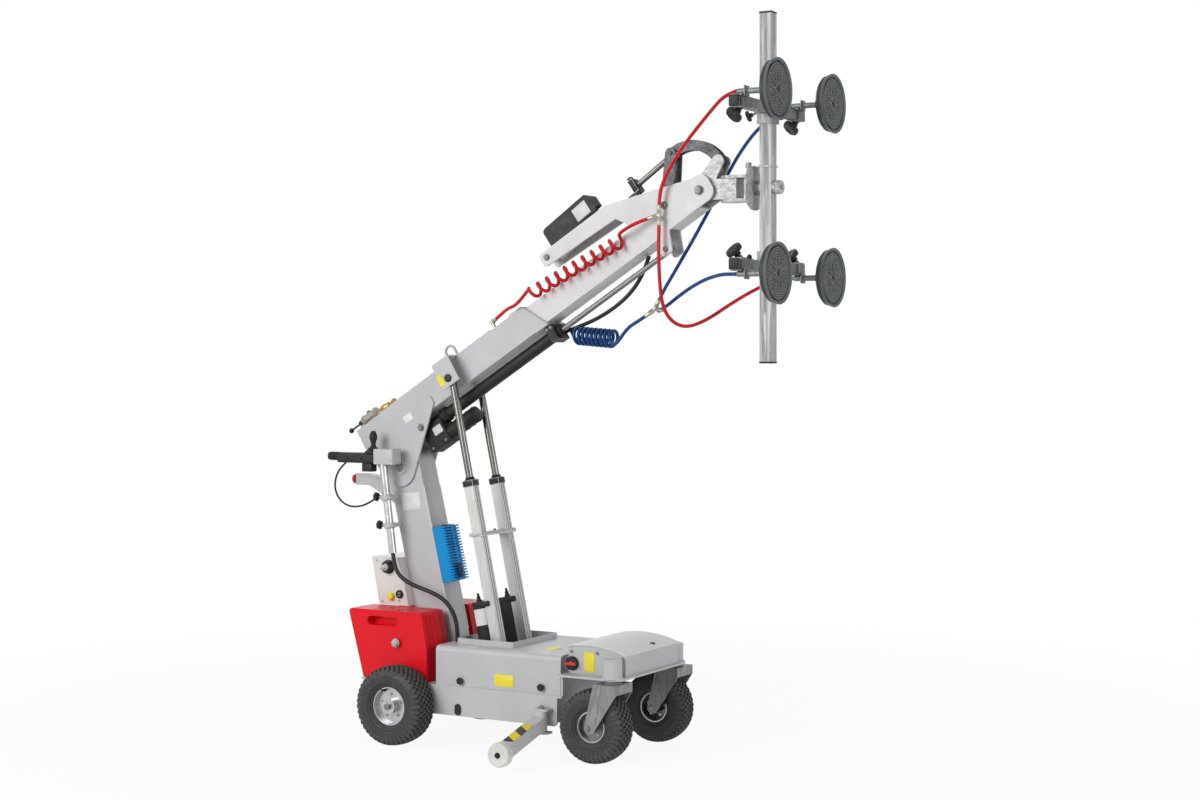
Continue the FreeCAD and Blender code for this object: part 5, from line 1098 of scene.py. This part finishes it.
def cup_clamp_details(place, way):
    """The clamp's stud and hand knob, and the collar of the cup's stem."""
    clamp = "cup_clamp_" + place
    low, high = corners_of(clamp)
    spot = Vector((bar.x + 0.006, middle(clamp).y, low.z if way < 0 else high.z))
    lean = Vector((-0.44, -0.54, way * 0.7)).normalized()
    stem = middle("suction_cup_" + place)
    stud = Form()
    stud.spin(spot, lean, clamp_stud, 18)
    stud.block(Vector((bar.x + 0.031, stem.y, stem.z)), stem_plate, 0.001)
    stud.spin(Vector((bar.x + 0.033, stem.y, stem.z)), X_AXIS, stem_collar, 32)
    stud.piece(clamp + "_stud", "cup_" + place, "zinc")
    hand = Form().knob(spot + lean * 0.012, lean, 0.033, 0.036, 8, 0.04)
    hand.piece(clamp + "_knob", "cup_" + place, "black")


def make_arms():
    """Plugs, studs and knobs of both cross arms; way points from an arm to the bar's middle."""
    for tier, way in (("upper", -1), ("lower", 1)):
        arm = "crossarm_" + tier
        low, high = corners_of(arm)
        plugs = Form()
        for tip, sign in ((low.y, -1), (high.y, 1)):
            plugs.block(by_bar(0, tip + sign * 0.001, -way * arm_rise), arm_cap, 0.0012)
            plugs.block(by_bar(0, tip - sign * 0.009, -way * arm_rise), arm_plug, 0.001)
        plugs.piece(arm + "_plugs", arm, "black")
        foot = by_bar(-0.032, -0.012, way * (0.012 - arm_rise))
        lean = Vector((-1, -0.25, way * 0.4)).normalized()
        Form().spin(foot, lean, arm_stud, 16).piece(arm + "_stud", arm, "zinc")
        Form().knob(foot + lean * 0.026, lean, 0.02, 0.024).piece(arm + "_knob", arm, "black")
        for side, _ in SIDES:
            cup_clamp_details("%s_%s" % (tier, side), way)


# Chassis

hood_y = corners_of("hood_cover")[1].y
module_y = corners_of("front_housing")[1].y
skirt_y = 0.260
# On both sides: (x, y, z, wide, tall)
side_plates = ((0.463, hood_y, 0.280, 0.088, 0.046), (0.826, module_y, 0.374, 0.046, 0.074))
hood_knobs = ((0.263, 0.264), (0.636, 0.269))
# (radius, height)
hood_knob_size = (0.014, 0.017)
lid_knob_size = (0.013, 0.016)
slot_back_size = (0.156, 0.005, 0.042)
weight_bolt_size = 0.0145
lid_screw_size = 0.0045
# Side view of a weight, whose edges the seams between its plates follow.
weight_outline = ((0.096, 0.250), (0.096, 0.375), (0.068, 0.518), (-0.290, 0.518), (-0.214, 0.250))
weight_plates = 5
weight_plate_pitch = 0.031
weight_inner_y = 0.095
# (x, z)
lid_screws = ((0.748, 0.412), (0.861, 0.412), (0.972, 0.398))
lid_y = 0.2175
switch_profile = (
    (0, 0), (0, 0.026), (0.003, 0.027), (0.008, 0.026), (0.012, 0.022), (0.0128, 0.012), (0.0128, 0))
swivel_r = 0.036
swivel_foot_z = 0.329
swivel_top_z = corners_of("base_frame")[1].z
swivel_cap = (
    (-0.004, swivel_r + 0.0012), (0.0, swivel_r + 0.0012), (0.0015, swivel_r), (0.0015, swivel_r * 0.7),
    (-0.001, swivel_r * 0.66), (-0.001, 0))
swivel_collar = ((0.0, 0.034), (0.002, 0.0355), (0.006, 0.0355), (0.009, 0.033), (0.009, 0.02))
hinge_top_z = 0.194


def make_hood_fittings():
    """Yellow plates, hand knobs and what shows in the weights' slots."""
    plates = Form()
    knobs = Form()
    slots = Form()
    for sign in (-1, 1):
        out = Y_AXIS * sign
        for x, y, z, wide, tall in side_plates:
            plates.plate(at(x, sign * y, z), out, Z_AXIS, wide, tall)
        for x, z in hood_knobs:
            knobs.knob(at(x, sign * hood_y, z), out, *hood_knob_size)
        knobs.plate(at(0.2555, sign * skirt_y, 0.1515), out, Z_AXIS, 0.026, 0.044, 0.007, 0.49)
        slots.block(at(-0.120, sign * 0.205, 0.474), slot_back_size, 0.001)
    plates.plate(at(0.602, -0.105, 0.396), Z_AXIS, X_AXIS, 0.07, 0.05)
    plates.piece("yellow_plates", "chassis", "yellow")
    knobs.knob(at(0.95, 0.06, 0.409), Z_AXIS, *lid_knob_size)
    knobs.piece("hood_knobs", "chassis", "black")
    slots.piece("weight_slot_backs", "chassis", "red")


def make_weight_seams():
    """Dark strips between the plates of both weights: painted shade in the gaps between them."""
    seams = Form()
    outline = [at(x, 0, z) for x, z in weight_outline]
    for a, b in zip(outline, outline[1:]):
        run = (b - a).normalized()
        axes = (run, Y_AXIS, Y_AXIS.cross(run))
        size = ((b - a).length - 0.03, 0.0022, 0.0012)
        for sign in (-1, 1):
            for k in range(1, weight_plates):
                y = sign * (weight_inner_y + weight_plate_pitch * k)
                seams.block((a + b) / 2 + Y_AXIS * y, size, 0.0003, axes, 1)
    seams.piece("weight_seam_shade", "chassis", "seam")


def make_weight_bolts():
    bolts = Form()
    for sign in (-1, 1):
        bolts.bolt(at(-0.046, sign * skirt_y, 0.392), Y_AXIS * sign, weight_bolt_size)
    bolts.piece("chassis_bolts", "chassis", "plate")


def make_front_fittings():
    """Lid screws, the main switch's body, and the welds and caps of the swivel tubes."""
    screws = Form()
    for x, z in lid_screws:
        for sign in (-1, 1):
            screws.bolt(at(x, sign * lid_y, z), Y_AXIS * sign, lid_screw_size)
    screws.piece("lid_screws", "chassis", "zinc")
    key = middle("main_switch_key")
    switch = Form().spin(Vector((key.x, -module_y - 0.001, key.z)), -Y_AXIS, switch_profile, 48)
    switch.piece("main_switch_body", "chassis", "black")
    welds = Form()
    bead = [(0.0055 * math.sin(turn) - 0.0005, swivel_r - 0.001 + 0.006 * math.cos(turn))
            for turn in (0, 0.5, 1.0, 1.5)]
    for side, _ in SIDES:
        stem = joint_place("caster_swivel_" + side)
        welds.spin(Vector((stem.x, stem.y, swivel_foot_z)), Z_AXIS, bead, 90, 45, 0.012)
        welds.spin(Vector((stem.x, stem.y, swivel_top_z)), Z_AXIS, swivel_cap, 64)
    welds.piece("swivel_welds", "chassis", "grey")


def make_outrigger_details(side, sign):
    """Hazard tape on a leg, the roller's bolt and the hinge's bolt."""
    hinge = joint_place("outrigger_swing_" + side)
    roller = middle("outrigger_roller_" + side)
    run = Vector((0, roller.y - hinge.y, roller.z - hinge.z)).normalized()
    across = X_AXIS.cross(run)
    top = across if across.z > 0 else -across
    leg_half = size_of("outrigger_leg_" + side).x / 2
    tape = Form().plate(hinge + run * 0.165 + top * (leg_half + 0.0003), top, run, 0.047, 0.15, 0.0012)
    tape.piece("outrigger_tape_" + side, "outrigger_" + side, "tape")
    roller_half = size_of("outrigger_roller_" + side).y / 2
    bolt = Form().bolt(roller + Y_AXIS * (sign * roller_half), Y_AXIS * sign, 0.009)
    bolt.piece("roller_bolt_" + side, "outrigger_wheel_" + side, "black")
    pin = Form().bolt(Vector((hinge.x, hinge.y, hinge_top_z)), Z_AXIS, 0.011)
    pin.piece("hinge_bolt_" + side, "chassis", "zinc")


def make_fork_bolts(side):
    """Axle bolts on a caster's fork and the collar over it."""
    fork = Form()
    hub = middle("caster_rim_" + side)
    cheek_y = size_of("caster_fork_" + side).y / 2 - 0.005
    for edge in (-1, 1):
        fork.bolt(hub + Y_AXIS * (edge * cheek_y), Y_AXIS * edge, 0.0095)
    fork.spin(joint_place("caster_swivel_" + side), Z_AXIS, swivel_collar, 56)
    fork.piece("fork_bolts_" + side, "caster_" + side, "zinc")


def make_chassis():
    make_hood_fittings()
    make_weight_seams()
    make_weight_bolts()
    make_front_fittings()
    for side, sign in SIDES:
        make_outrigger_details(side, sign)
        make_fork_bolts(side)


# Column and what is fixed to it

panel_y = corners_of("control_panel")[0].y
socket = at(-0.195, panel_y, 0.676)
gauge = at(-0.139, panel_y, 0.566)
button = at(-0.181, panel_y, 0.555)
# (x, z)
panel_screws = ((-0.256, 0.70), (-0.172, 0.716), (-0.226, 0.532), (-0.142, 0.540))
socket_profile = ((0, 0.029), (0.005, 0.029), (0.008, 0.0265), (0.02, 0.0245), (0.023, 0.022), (0.023, 0))
gauge_profile = ((0, 0.017), (0.006, 0.017), (0.009, 0.015), (0.009, 0.0125), (0.006, 0.012), (0.006, 0))
button_profile = (
    (0, 0.0165), (0.004, 0.0165), (0.006, 0.0152), (0.012, 0.0148), (0.015, 0.0125), (0.0165, 0.006),
    (0.0165, 0))
plug_profile = (
    (0, 0.0145), (0.004, 0.0145), (0.006, 0.012), (0.02, 0.0105), (0.024, 0.007), (0.034, 0.0055),
    (0.034, 0))
panel_screw_size = 0.0036
socket_lid = (0.026, 0.02, 0.006)
gauge_mark = (0.012, 0.002, 0.002)
pole_top = at(-0.203, -0.130, 1.101)
pole_low = conduit[0]
pole_clamp_heights = (0.964, 0.849)
pole_clamp = ((0, 0.0165), (0, 0.0205), (0.002, 0.022), (0.022, 0.022), (0.024, 0.0205), (0.024, 0.0165))
pole_clamp_stud = ((0.02, 0.007), (0.036, 0.007), (0.036, 0))
gland_profile = ((0, 0.007), (0.008, 0.007), (0.01, 0.005), (0.024, 0.0042), (0.024, 0))
gland_shifts = (-0.018, 0.006, 0.024)
column_slope = Vector((-0.2414, 0, 1)).normalized()
column_ahead = Y_AXIS.cross(column_slope)
column_axes = (column_slope, Y_AXIS, column_ahead)
column_front = at(0.019, 0, 0.728)
column_half = corners_of("column")[1].y
column_edge = (0.6, 0.005, 0.005)
charger_top = (0.03, 0.05, 0.008)
charger_core = (0.224, 0.096, 0.01)


def make_panel():
    """Socket, gauge, button, plug and screws on the control panel."""
    out = -Y_AXIS
    black = Form()
    black.spin(socket, out, socket_profile, 40)
    black.block(socket + Vector((0.012, -0.016, 0.024)), socket_lid, 0.002)
    black.spin(gauge, out, gauge_profile, 40)
    black.piece("panel_socket", "chassis", "black")
    Form().spin(button, out, button_profile, 40).piece("panel_button", "chassis", "yellow")
    pale = Form()
    pale.spin(socket + out * 0.022, (out - X_AXIS * 0.25).normalized(), plug_profile, 32)
    for shift in (-0.0048, 0.0048):
        pale.block(gauge + out * 0.0065 + Z_AXIS * shift, gauge_mark, 0.0005)
    pale.piece("panel_plug", "chassis", "pale_plastic")
    screws = Form()
    for x, z in panel_screws:
        screws.bolt(at(x, panel_y, z), out, panel_screw_size, False)
    screws.piece("panel_screws", "chassis", "zinc")


def make_pole_clamps():
    clamps = Form()
    grips = Form()
    fall = (pole_low - pole_top).normalized()
    rear = Vector((-1, -0.1, 0.03)).normalized()
    for z in pole_clamp_heights:
        share = (pole_top.z - z) / (pole_top.z - pole_low.z)
        ring = pole_top + (pole_low - pole_top) * share
        clamps.spin(ring - fall * 0.012, fall, pole_clamp, 40)
        clamps.spin(ring, rear, pole_clamp_stud, 20)
        grips.knob(ring + rear * 0.03, rear, 0.018, 0.026)
    clamps.piece("pole_clamps", "chassis", "plate")
    grips.piece("pole_clamp_knobs", "chassis", "black")


def make_charger():
    """The charger's top block, cable glands, dark plate and the core between its fins."""
    low, high = corners_of("charger")
    mid = (low + high) / 2
    trim = Form()
    trim.block(Vector((mid.x - 0.012, mid.y, high.z - 0.004)), charger_top, 0.002)
    for shift in gland_shifts:
        trim.spin(Vector((low.x + 0.03, mid.y + shift, low.z + 0.004)), -Z_AXIS, gland_profile, 20)
    plate_place = Vector((high.x, mid.y - 0.012, low.z + 0.055))
    trim.plate(plate_place, column_ahead, Z_AXIS, 0.024, 0.058, 0.0012)
    trim.piece("charger_glands", "chassis", "black")
    core_place = column_front + Y_AXIS * mid.y + column_ahead * 0.0485
    core = Form().block(core_place, charger_core, 0.002, column_axes)
    core.piece("charger_core", "chassis", "blue")


def make_column_trim():
    """A bare plate on the column's side and strips of light paint along the edges of its front: a painted
    highlight.
    """
    plate_place = at(-0.114, -column_half, 0.947)
    plate = Form().plate(plate_place, -Y_AXIS, Vector((-0.12, 0, 1)), 0.09, 0.07, 0.0008)
    plate.piece("column_plates", "chassis", "pale_plastic")
    # Light strips on the column's front edges: a painted highlight.
    edges = Form()
    for sign in (-1, 1):
        place = column_front + Y_AXIS * (sign * column_half) - column_slope * 0.012
        edges.block(place, column_edge, 0.0015, column_axes)
    edges.piece("column_edge_highlights", "chassis", "light")


def make_estop():
    """The emergency stop's mushroom and its neck."""
    low, high = corners_of("estop_button")
    mid = (low + high) / 2
    tip = Vector((low.x, mid.y, mid.z))
    wide = (high.z - low.z) / 2
    long = high.x - low.x
    mushroom = ((0, 0), (0, wide * 0.35), (0.0012, wide * 0.7), (0.004, wide * 0.93), (0.007, wide),
                (0.0125, wide), (0.0155, wide * 0.9), (0.0165, wide * 0.62), (0.0165, 0))
    cap = Form().spin(tip, X_AXIS, mushroom, 56)
    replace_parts(cap.piece("estop_mushroom", "estop", "red_plastic"), "estop_button")
    neck = Form().spin(tip, X_AXIS, ((0.015, 0), (0.015, wide * 0.54), (long, wide * 0.54), (long, 0)), 40)
    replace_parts(neck.piece("estop_neck", "estop", "black"), "estop_button")


def make_column():
    make_panel()
    make_pole_clamps()
    make_charger()
    make_column_trim()
    make_estop()


# Lift actuators, with distances along them from their upper pins

lift_y = 0.097
lift_top = at(0.1175, 0, 1.456)
lift_run = (at(0.384, 0, 0.200) - lift_top).normalized()
lift_back = Vector((lift_run.z, 0, -lift_run.x))
lift_axes = (lift_run, Y_AXIS, lift_back)
barrel_half = 0.021
barrel_start = 0.449
barrel_stop = 1.300
groove_size = (0.04, 0.0008)
groove_chamfer = 0.0003
rib_shifts = (-0.0145, 0, 0.0145)
rib_size = (0.0105, 0.0036)
rib_lift = 0.0004
rib_chamfer = 0.0012
# (distance, length, half width)
barrel_caps = ((0.433, 0.026, 0.0245), (0.4195, 0.006, 0.019))
seal_place = 0.418
barrel_seal = ((-0.002, 0.0155), (0.006, 0.0195), (0.009, 0.0185), (0.01, 0.0153))
motor_back = 0.0533
motor_start = 0.905
motor_profile = (
    (0, 0), (0, 0.0325), (0.004, 0.0345), (0.016, 0.0345), (0.02, 0.033), (0.024, 0.0332), (0.195, 0.0332),
    (0.2, 0.0325), (0.2, 0))
# (distance, offset to the back, size)
motor_blocks = ((0.918, 0.03, (0.022, 0.058, 0.066)), (1.02, 0.028, (0.17, 0.03, 0.02)))
lead_shift = 0.008
motor_gland = (
    (0, 0.011), (0.006, 0.011), (0.008, 0.0085), (0.02, 0.0075), (0.022, 0.0055), (0.034, 0.0048),
    (0.034, 0))
label_ends = (0.934, 1.0)
label_radius = 0.0337
label_thick = 0.0006
label_arc = 1.8
label_turn = -0.25
label_steps = 8
tie_place = lift_top + lift_run * 0.640
tie_thick = 0.0112


def motor_label(form, motor, sign):
    """A bare label bent round a motor's outer side."""
    rows = []
    for d in label_ends:
        row = []
        for k in range(label_steps + 1):
            turn = (k / label_steps - 0.5) * label_arc + label_turn
            way = Y_AXIS * (sign * math.cos(turn)) + lift_back * math.sin(turn)
            row.append(form.bm.verts.new(motor + lift_run * d + way * label_radius))
        rows.append(row)
    for k in range(label_steps):
        form.bm.faces.new((rows[0][k], rows[0][k + 1], rows[1][k + 1], rows[1][k]))


def make_tie_bars():
    """Bars that tie both barrels together."""
    bars = Form()
    reach = lift_y + barrel_half + 0.0085
    for way in (-1, 1):
        front = tie_place + lift_back * (way * (barrel_half + 0.006))
        bars.block(front, (tie_thick, 2 * reach, 0.0085), 0.001, lift_axes)
        end = tie_place + Y_AXIS * (way * (reach - 0.003))
        bars.block(end, (tie_thick, 0.0065, 0.0625), 0.001, lift_axes)
    bars.piece("tie_plate_bars", "lift_barrels", "plate")


def make_barrels():
    """Ribs in light paint, a painted highlight, over a dark sheet, painted shade in the groove between each pair,
    and the end caps of both barrels.
    """
    ribs = Form()
    groove_shade = Form()
    caps = Form()
    length = barrel_stop - barrel_start
    for sign in (-1, 1):
        core = lift_top + Y_AXIS * (sign * lift_y)
        mid = core + lift_run * ((barrel_start + barrel_stop) / 2)
        for normal in (lift_back, -lift_back):
            axes = (lift_run, Y_AXIS, normal)
            # A matt black sheet under the ribs: painted shade in the gaps between them.
            groove_shade.block(mid + normal * barrel_half, (length, *groove_size), groove_chamfer, axes, 1)
            for shift in rib_shifts:
                place = mid + normal * (barrel_half + rib_lift) + Y_AXIS * shift
                ribs.block(place, (length, *rib_size), rib_chamfer, axes, 1)
        for d, tall, wide in barrel_caps:
            caps.block(core + lift_run * d, (tall, 2 * wide, 2 * wide), 0.003, lift_axes)
        caps.spin(core + lift_run * seal_place, -lift_run, barrel_seal, 40)
    # The ribs take the light paint, lighter than the barrel's drawn aluminium: a painted highlight on the ribbed
    # faces.
    ribs.piece("barrel_ribs", "lift_barrels", "light", "extrusion")
    groove_shade.piece("barrel_groove_shade", "lift_barrels", "soft_black", "dark_metal")
    caps.piece("barrel_caps", "lift_barrels", "black")


def make_lift_motors():
    """Shells, bare labels and cable glands of both motors."""
    shells = Form()
    labels = Form()
    glands = Form()
    for sign in (-1, 1):
        core = lift_top + Y_AXIS * (sign * lift_y)
        motor = core + lift_back * motor_back
        shells.spin(motor + lift_run * motor_start, lift_run, motor_profile, 56)
        for d, back, size in motor_blocks:
            shells.block(core + lift_run * d + lift_back * back, size, 0.004, lift_axes)
        motor_label(labels, motor, sign)
        lead = motor + lift_run * motor_start + Y_AXIS * (sign * lead_shift)
        glands.spin(lead, -lift_run, motor_gland, 24)
    bmesh.ops.solidify(labels.bm, geom=labels.bm.faces[:], thickness=label_thick)
    shells.piece("lift_motor_shells", "lift_barrels", "soft_black")
    labels.piece("lift_motor_labels", "lift_barrels", "pale_plastic")
    glands.piece("lift_motor_glands", "lift_barrels", "black")


def make_tie_bolts():
    bolts = Form()
    for y in (-0.045, 0.045):
        for shift in (-0.02, 0.02):
            bolts.bolt(Vector((tie_place.x + shift, y, tie_place.z + 0.005)), Z_AXIS, 0.006)
    bolts.piece("tie_plate_bolts", "lift_barrels", "zinc")


def make_lift():
    make_tie_bars()
    make_barrels()
    make_lift_motors()
    make_tie_bolts()


# Boom

boom_axes = (along, Y_AXIS, rise)
cheek_y = 0.068
saddle_y = corners_of("outer_boom")[1].y
pivot_cap = ((0, 0.0195), (0.003, 0.0195), (0.005, 0.0175), (0.005, 0.012), (0.003, 0.0105), (0.003, 0))
saddle_cap = ((0, 0), (0, 0.0165), (0.004, 0.0165), (0.007, 0.0145), (0.0085, 0.009), (0.0085, 0))
valve_y = joint_place("valve_lever_turn").y
valve_line = 0.082
valve_middle = -0.052
valve_body = (
    (0, 0), (0, 0.010), (0.01, 0.010), (0.012, 0.014), (0.024, 0.015), (0.028, 0.0165), (0.046, 0.0165),
    (0.05, 0.014), (0.062, 0.013), (0.062, 0.009), (0.078, 0.009), (0.078, 0))
valve_end_nut = ((0, 0.012), (0.016, 0.012), (0.018, 0.0105), (0.018, 0))
valve_foot = ((0, 0.011), (0.01, 0.011), (0.012, 0.008), (0.022, 0.008))
valve_nut = ((0, 0.0205), (0.002, 0.0215), (0.012, 0.0215), (0.014, 0.0205), (0.014, 0))
gearbox_size = (0.108, 0.082, 0.112)
motor_line = -0.170
spindle_line = -0.098
fin_places = (0.27, 0.3, 0.33, 0.36, 0.39)
fin_profile = ((0, 0.0325), (0.001, 0.0345), (0.007, 0.0345), (0.008, 0.0325))
motor_end = ((0, 0.033), (0.004, 0.032), (0.007, 0.026), (0.007, 0))
tube_root = ((0, 0.031), (0.03, 0.031), (0.034, 0.027), (0.034, 0.0248))
tube_end = ((-0.03, 0.0248), (-0.028, 0.0275), (-0.002, 0.0275), (0, 0.026), (0.0, 0.0125))
# On both sides: (along the boom, beside it, above its middle line, size)
drive_bolts = (
    (0.888, 0.046, -0.075, 0.0055), (0.906, 0.046, -0.075, 0.0055), (0.168, 0.041, -0.196, 0.0045),
    (0.24, 0.041, -0.196, 0.0045))
elbow_profile = ((-0.008, 0), (-0.008, 0.0085), (0.004, 0.0085), (0.006, 0.0065), (0.03, 0.0065))


def make_boom_bolts():
    """Pivot caps, bolts, saddle pins and bare plates on the outer boom."""
    bolts = Form()
    pins = Form()
    pivot_mid = Vector((pivot.x, 0, pivot.z))
    for sign in (-1, 1):
        out = Y_AXIS * sign
        bolts.spin(pivot_mid + out * 0.0725, out, pivot_cap, 48)
        bolts.bolt(on_boom(0.175, sign * cheek_y, -0.098), out, 0.0125)
        pins.spin(on_boom(0.431, sign * saddle_y, -0.017), out, saddle_cap, 40)
    bolts.piece("boom_bolts", "boom_outer", "zinc")
    pins.piece("saddle_pin_caps", "boom_outer", "black")
    plate = Form().plate(at(0.083, -saddle_y, 1.444), -Y_AXIS, rise, 0.027, 0.045)
    plate.piece("saddle_plate", "boom_outer", "yellow")
    plate = Form().plate(at(-0.1216, -cheek_y, 1.2895), -Y_AXIS, rise, 0.045, 0.032, 0.0008)
    plate.piece("cheek_plate", "boom_outer", "pale_plastic")


def make_valve():
    """Brass fittings ahead of the vacuum valve and the nuts at its ends."""
    brass = Form()
    brass.spin(on_boom(-0.005, valve_y, valve_line), along, valve_body, 32)
    brass.spin(on_boom(0.075, valve_y, valve_line), along, valve_end_nut, 6)
    brass.spin(on_boom(0.02, valve_y, 0.058), rise, valve_foot, 24)
    brass.piece("valve_fittings", "boom_outer", "gold")
    steel = Form()
    steel.bolt(on_boom(valve_middle, valve_y, 0.108), rise, 0.009)
    for way in (-1, 1):
        steel.spin(on_boom(valve_middle + way * 0.026, valve_y, 0.091), along * way, valve_nut, 6)
    steel.piece("valve_nuts", "boom_outer", "zinc")


def make_telescope_drive():
    """Motor fins, gearbox, tube ends, label and bolts of the telescope's drive."""
    gear = Form()
    for s in fin_places:
        gear.spin(on_boom(s, 0, motor_line), along, fin_profile, 48)
    gear.spin(on_boom(0.402, 0, motor_line), along, motor_end, 48)
    gear.block(on_boom(0.204, 0, -0.152), gearbox_size, 0.008, boom_axes, 3)
    gear.spin(on_boom(0.256, 0, spindle_line), along, tube_root, 48)
    gear.spin(on_boom(0.928, 0, spindle_line), along, tube_end, 48)
    gear.piece("telescope_drive_trim", "boom_outer", "soft_black")
    label = Form().plate(on_boom(0.225, -0.0412, -0.14), -Y_AXIS, rise, 0.045, 0.035, 0.001)
    label.piece("telescope_motor_label", "boom_outer", "pale_plastic")
    bolts = Form()
    for sign in (-1, 1):
        for s, y, t, size in drive_bolts:
            bolts.bolt(on_boom(s, sign * y, t), Y_AXIS * sign, size)
    bolts.piece("telescope_drive_bolts", "boom_outer", "zinc")


def make_hose_glands():
    """Fittings where both curly hoses start, and the red one's elbow."""
    glands = Form()
    for first, second in (red_lead_in[:2], blue_lead_in[:2]):
        way = (second - first).normalized()
        glands.fitting(first + way * 0.004, -way, 0.03)
    glands.spin(red_lead_in[0] - along * 0.02, -rise, elbow_profile, 20)
    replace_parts(glands.piece("hose_glands", "boom_outer", "brass"), "red_hoses", "blue_hoses")


def make_boom():
    make_boom_bolts()
    make_valve()
    make_telescope_drive()
    make_hose_glands()


# Boom head, tilt actuator and control handle

head_y = corners_of("boom_head")[1].y
tilt_foot = (1.041, 0.168)
# (along the boom, above its middle line, size)
head_bolts = ((1.741, 0.012, 0.0155), (1.587, 0.047, 0.0125), (*tilt_foot, 0.011), (1.503, -0.098, 0.009))
tilt_run = joint_axis("tilt_rod_slide")
tilt_up = Vector((-tilt_run.z, 0, tilt_run.x))
tilt_axes = (tilt_run, Y_AXIS, tilt_up)
tilt_gland = ((0, 0.012), (0.008, 0.012), (0.01, 0.0085), (0.024, 0.007), (0.024, 0))
tilt_sleeve = (
    (0.018, 0.006), (0.018, 0.0105), (0.02, 0.0115), (0.26, 0.0115), (0.262, 0.0105), (0.262, 0.006))
tilt_end_size = (0.025, 0.0575, 0.0575)
tilt_ear_size = (0.02, 0.022, 0.014)
tilt_ear_rise = 0.0335
pole_y = -0.130
grip_start = -0.466
grip_pitch = 0.0095
grip_ribs = 7
grip_rib = ((0, 0.0163), (0.001, 0.0178), (0.0055, 0.0178), (0.0065, 0.0163))
stick_base = at(-0.252, pole_y, 1.145)
stick_box_size = (0.05, 0.04, 0.036)
pole_head_size = (0.0965, 0.0655, 0.0635)
stick_collar = ((0, 0.036), (0.004, 0.036), (0.008, 0.034), (0.01, 0.029), (0.01, 0.02))
stick_profile = (
    (0.008, 0), (0.008, 0.026), (0.013, 0.027), (0.016, 0.021), (0.02, 0.0215), (0.024, 0.014),
    (0.03, 0.0105), (0.04, 0.0095), (0.048, 0.0125), (0.058, 0.016), (0.068, 0.0165), (0.078, 0.0145),
    (0.083, 0.011), (0.089, 0.0095), (0.091, 0.006), (0.091, 0))


def make_tilt_details():
    """Label, gland, end block and thread sleeve of the tilt actuator."""
    low, high = corners_of("tilt_motor")
    mid = (low + high) / 2
    label_place = Vector((mid.x, low.y, mid.z)) + tilt_run * 0.066
    label = Form().plate(label_place, -Y_AXIS, tilt_run, 0.056, 0.07, 0.001, 0.04)
    label.piece("tilt_motor_label", "tilt_actuator", "pale_plastic")
    black = Form()
    black.spin(mid + tilt_run * 0.112 - tilt_up * 0.02, tilt_run, tilt_gland, 24)
    end = on_boom(tilt_foot[0], 0, tilt_foot[1]) + tilt_run * 0.463
    black.block(end, tilt_end_size, 0.004, tilt_axes)
    for way in (-1, 1):
        ear = end + tilt_up * (way * tilt_ear_rise) - Y_AXIS * 0.012
        black.block(ear, tilt_ear_size, 0.004, tilt_axes)
    black.piece("tilt_motor_gland", "tilt_actuator", "black")
    sleeve = Form().spin(on_boom(1.706, 0, 0.209), -tilt_run, tilt_sleeve, 32)
    sleeve.piece("tilt_rod_sleeve", "tilt_rod", "tilt_thread")


def make_handle():
    """Grip ribs, joystick and head cover on the control pole."""
    grip = Form()
    for k in range(grip_ribs):
        grip.spin(at(grip_start + grip_pitch * k, pole_y, 1.128), X_AXIS, grip_rib, 40)
    for x in (-0.36, -0.29):
        grip.bolt(at(x, pole_y - 0.034, 1.122), -Y_AXIS, 0.0048, False)
    grip.piece("handle_grip_ribs", "handle_pole", "soft_black")
    collar = Form()
    collar.spin(stick_base, Z_AXIS, stick_collar, 48)
    collar.block(at(-0.272, pole_y, 1.086), stick_box_size, 0.004)
    collar.piece("joystick_collar", "handle_pole", "black")
    stick = Form().spin(stick_base, Z_AXIS, stick_profile, 40)
    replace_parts(stick.piece("joystick_bulb", "joystick", "soft_black"), "joystick")
    cover = Form()
    cover.block(at(-0.1825, pole_y, 1.132), pole_head_size, 0.006, steps=3)
    for sign in (-1, 1):
        cover.bolt(at(-0.147, pole_y + sign * 0.0325, 1.118), Y_AXIS * sign, 0.0042, False)
    cover.piece("pole_head_cover", "handle_pole", "grey")


def make_head():
    bolts = Form()
    for sign in (-1, 1):
        for s, t, size in head_bolts:
            bolts.bolt(on_boom(s, sign * head_y, t), Y_AXIS * sign, size)
    bolts.piece("head_bolts", "boom_inner", "zinc")
    make_tilt_details()
    make_handle()


dress_nodes()
make_camera()
make_world()
make_floor()
make_lamps()
make_cords()
make_wheels()
make_cups()
make_bar()
make_arms()
make_chassis()
make_column()
make_lift()
make_boom()
make_head()

scene.view_settings.view_transform = "Standard"
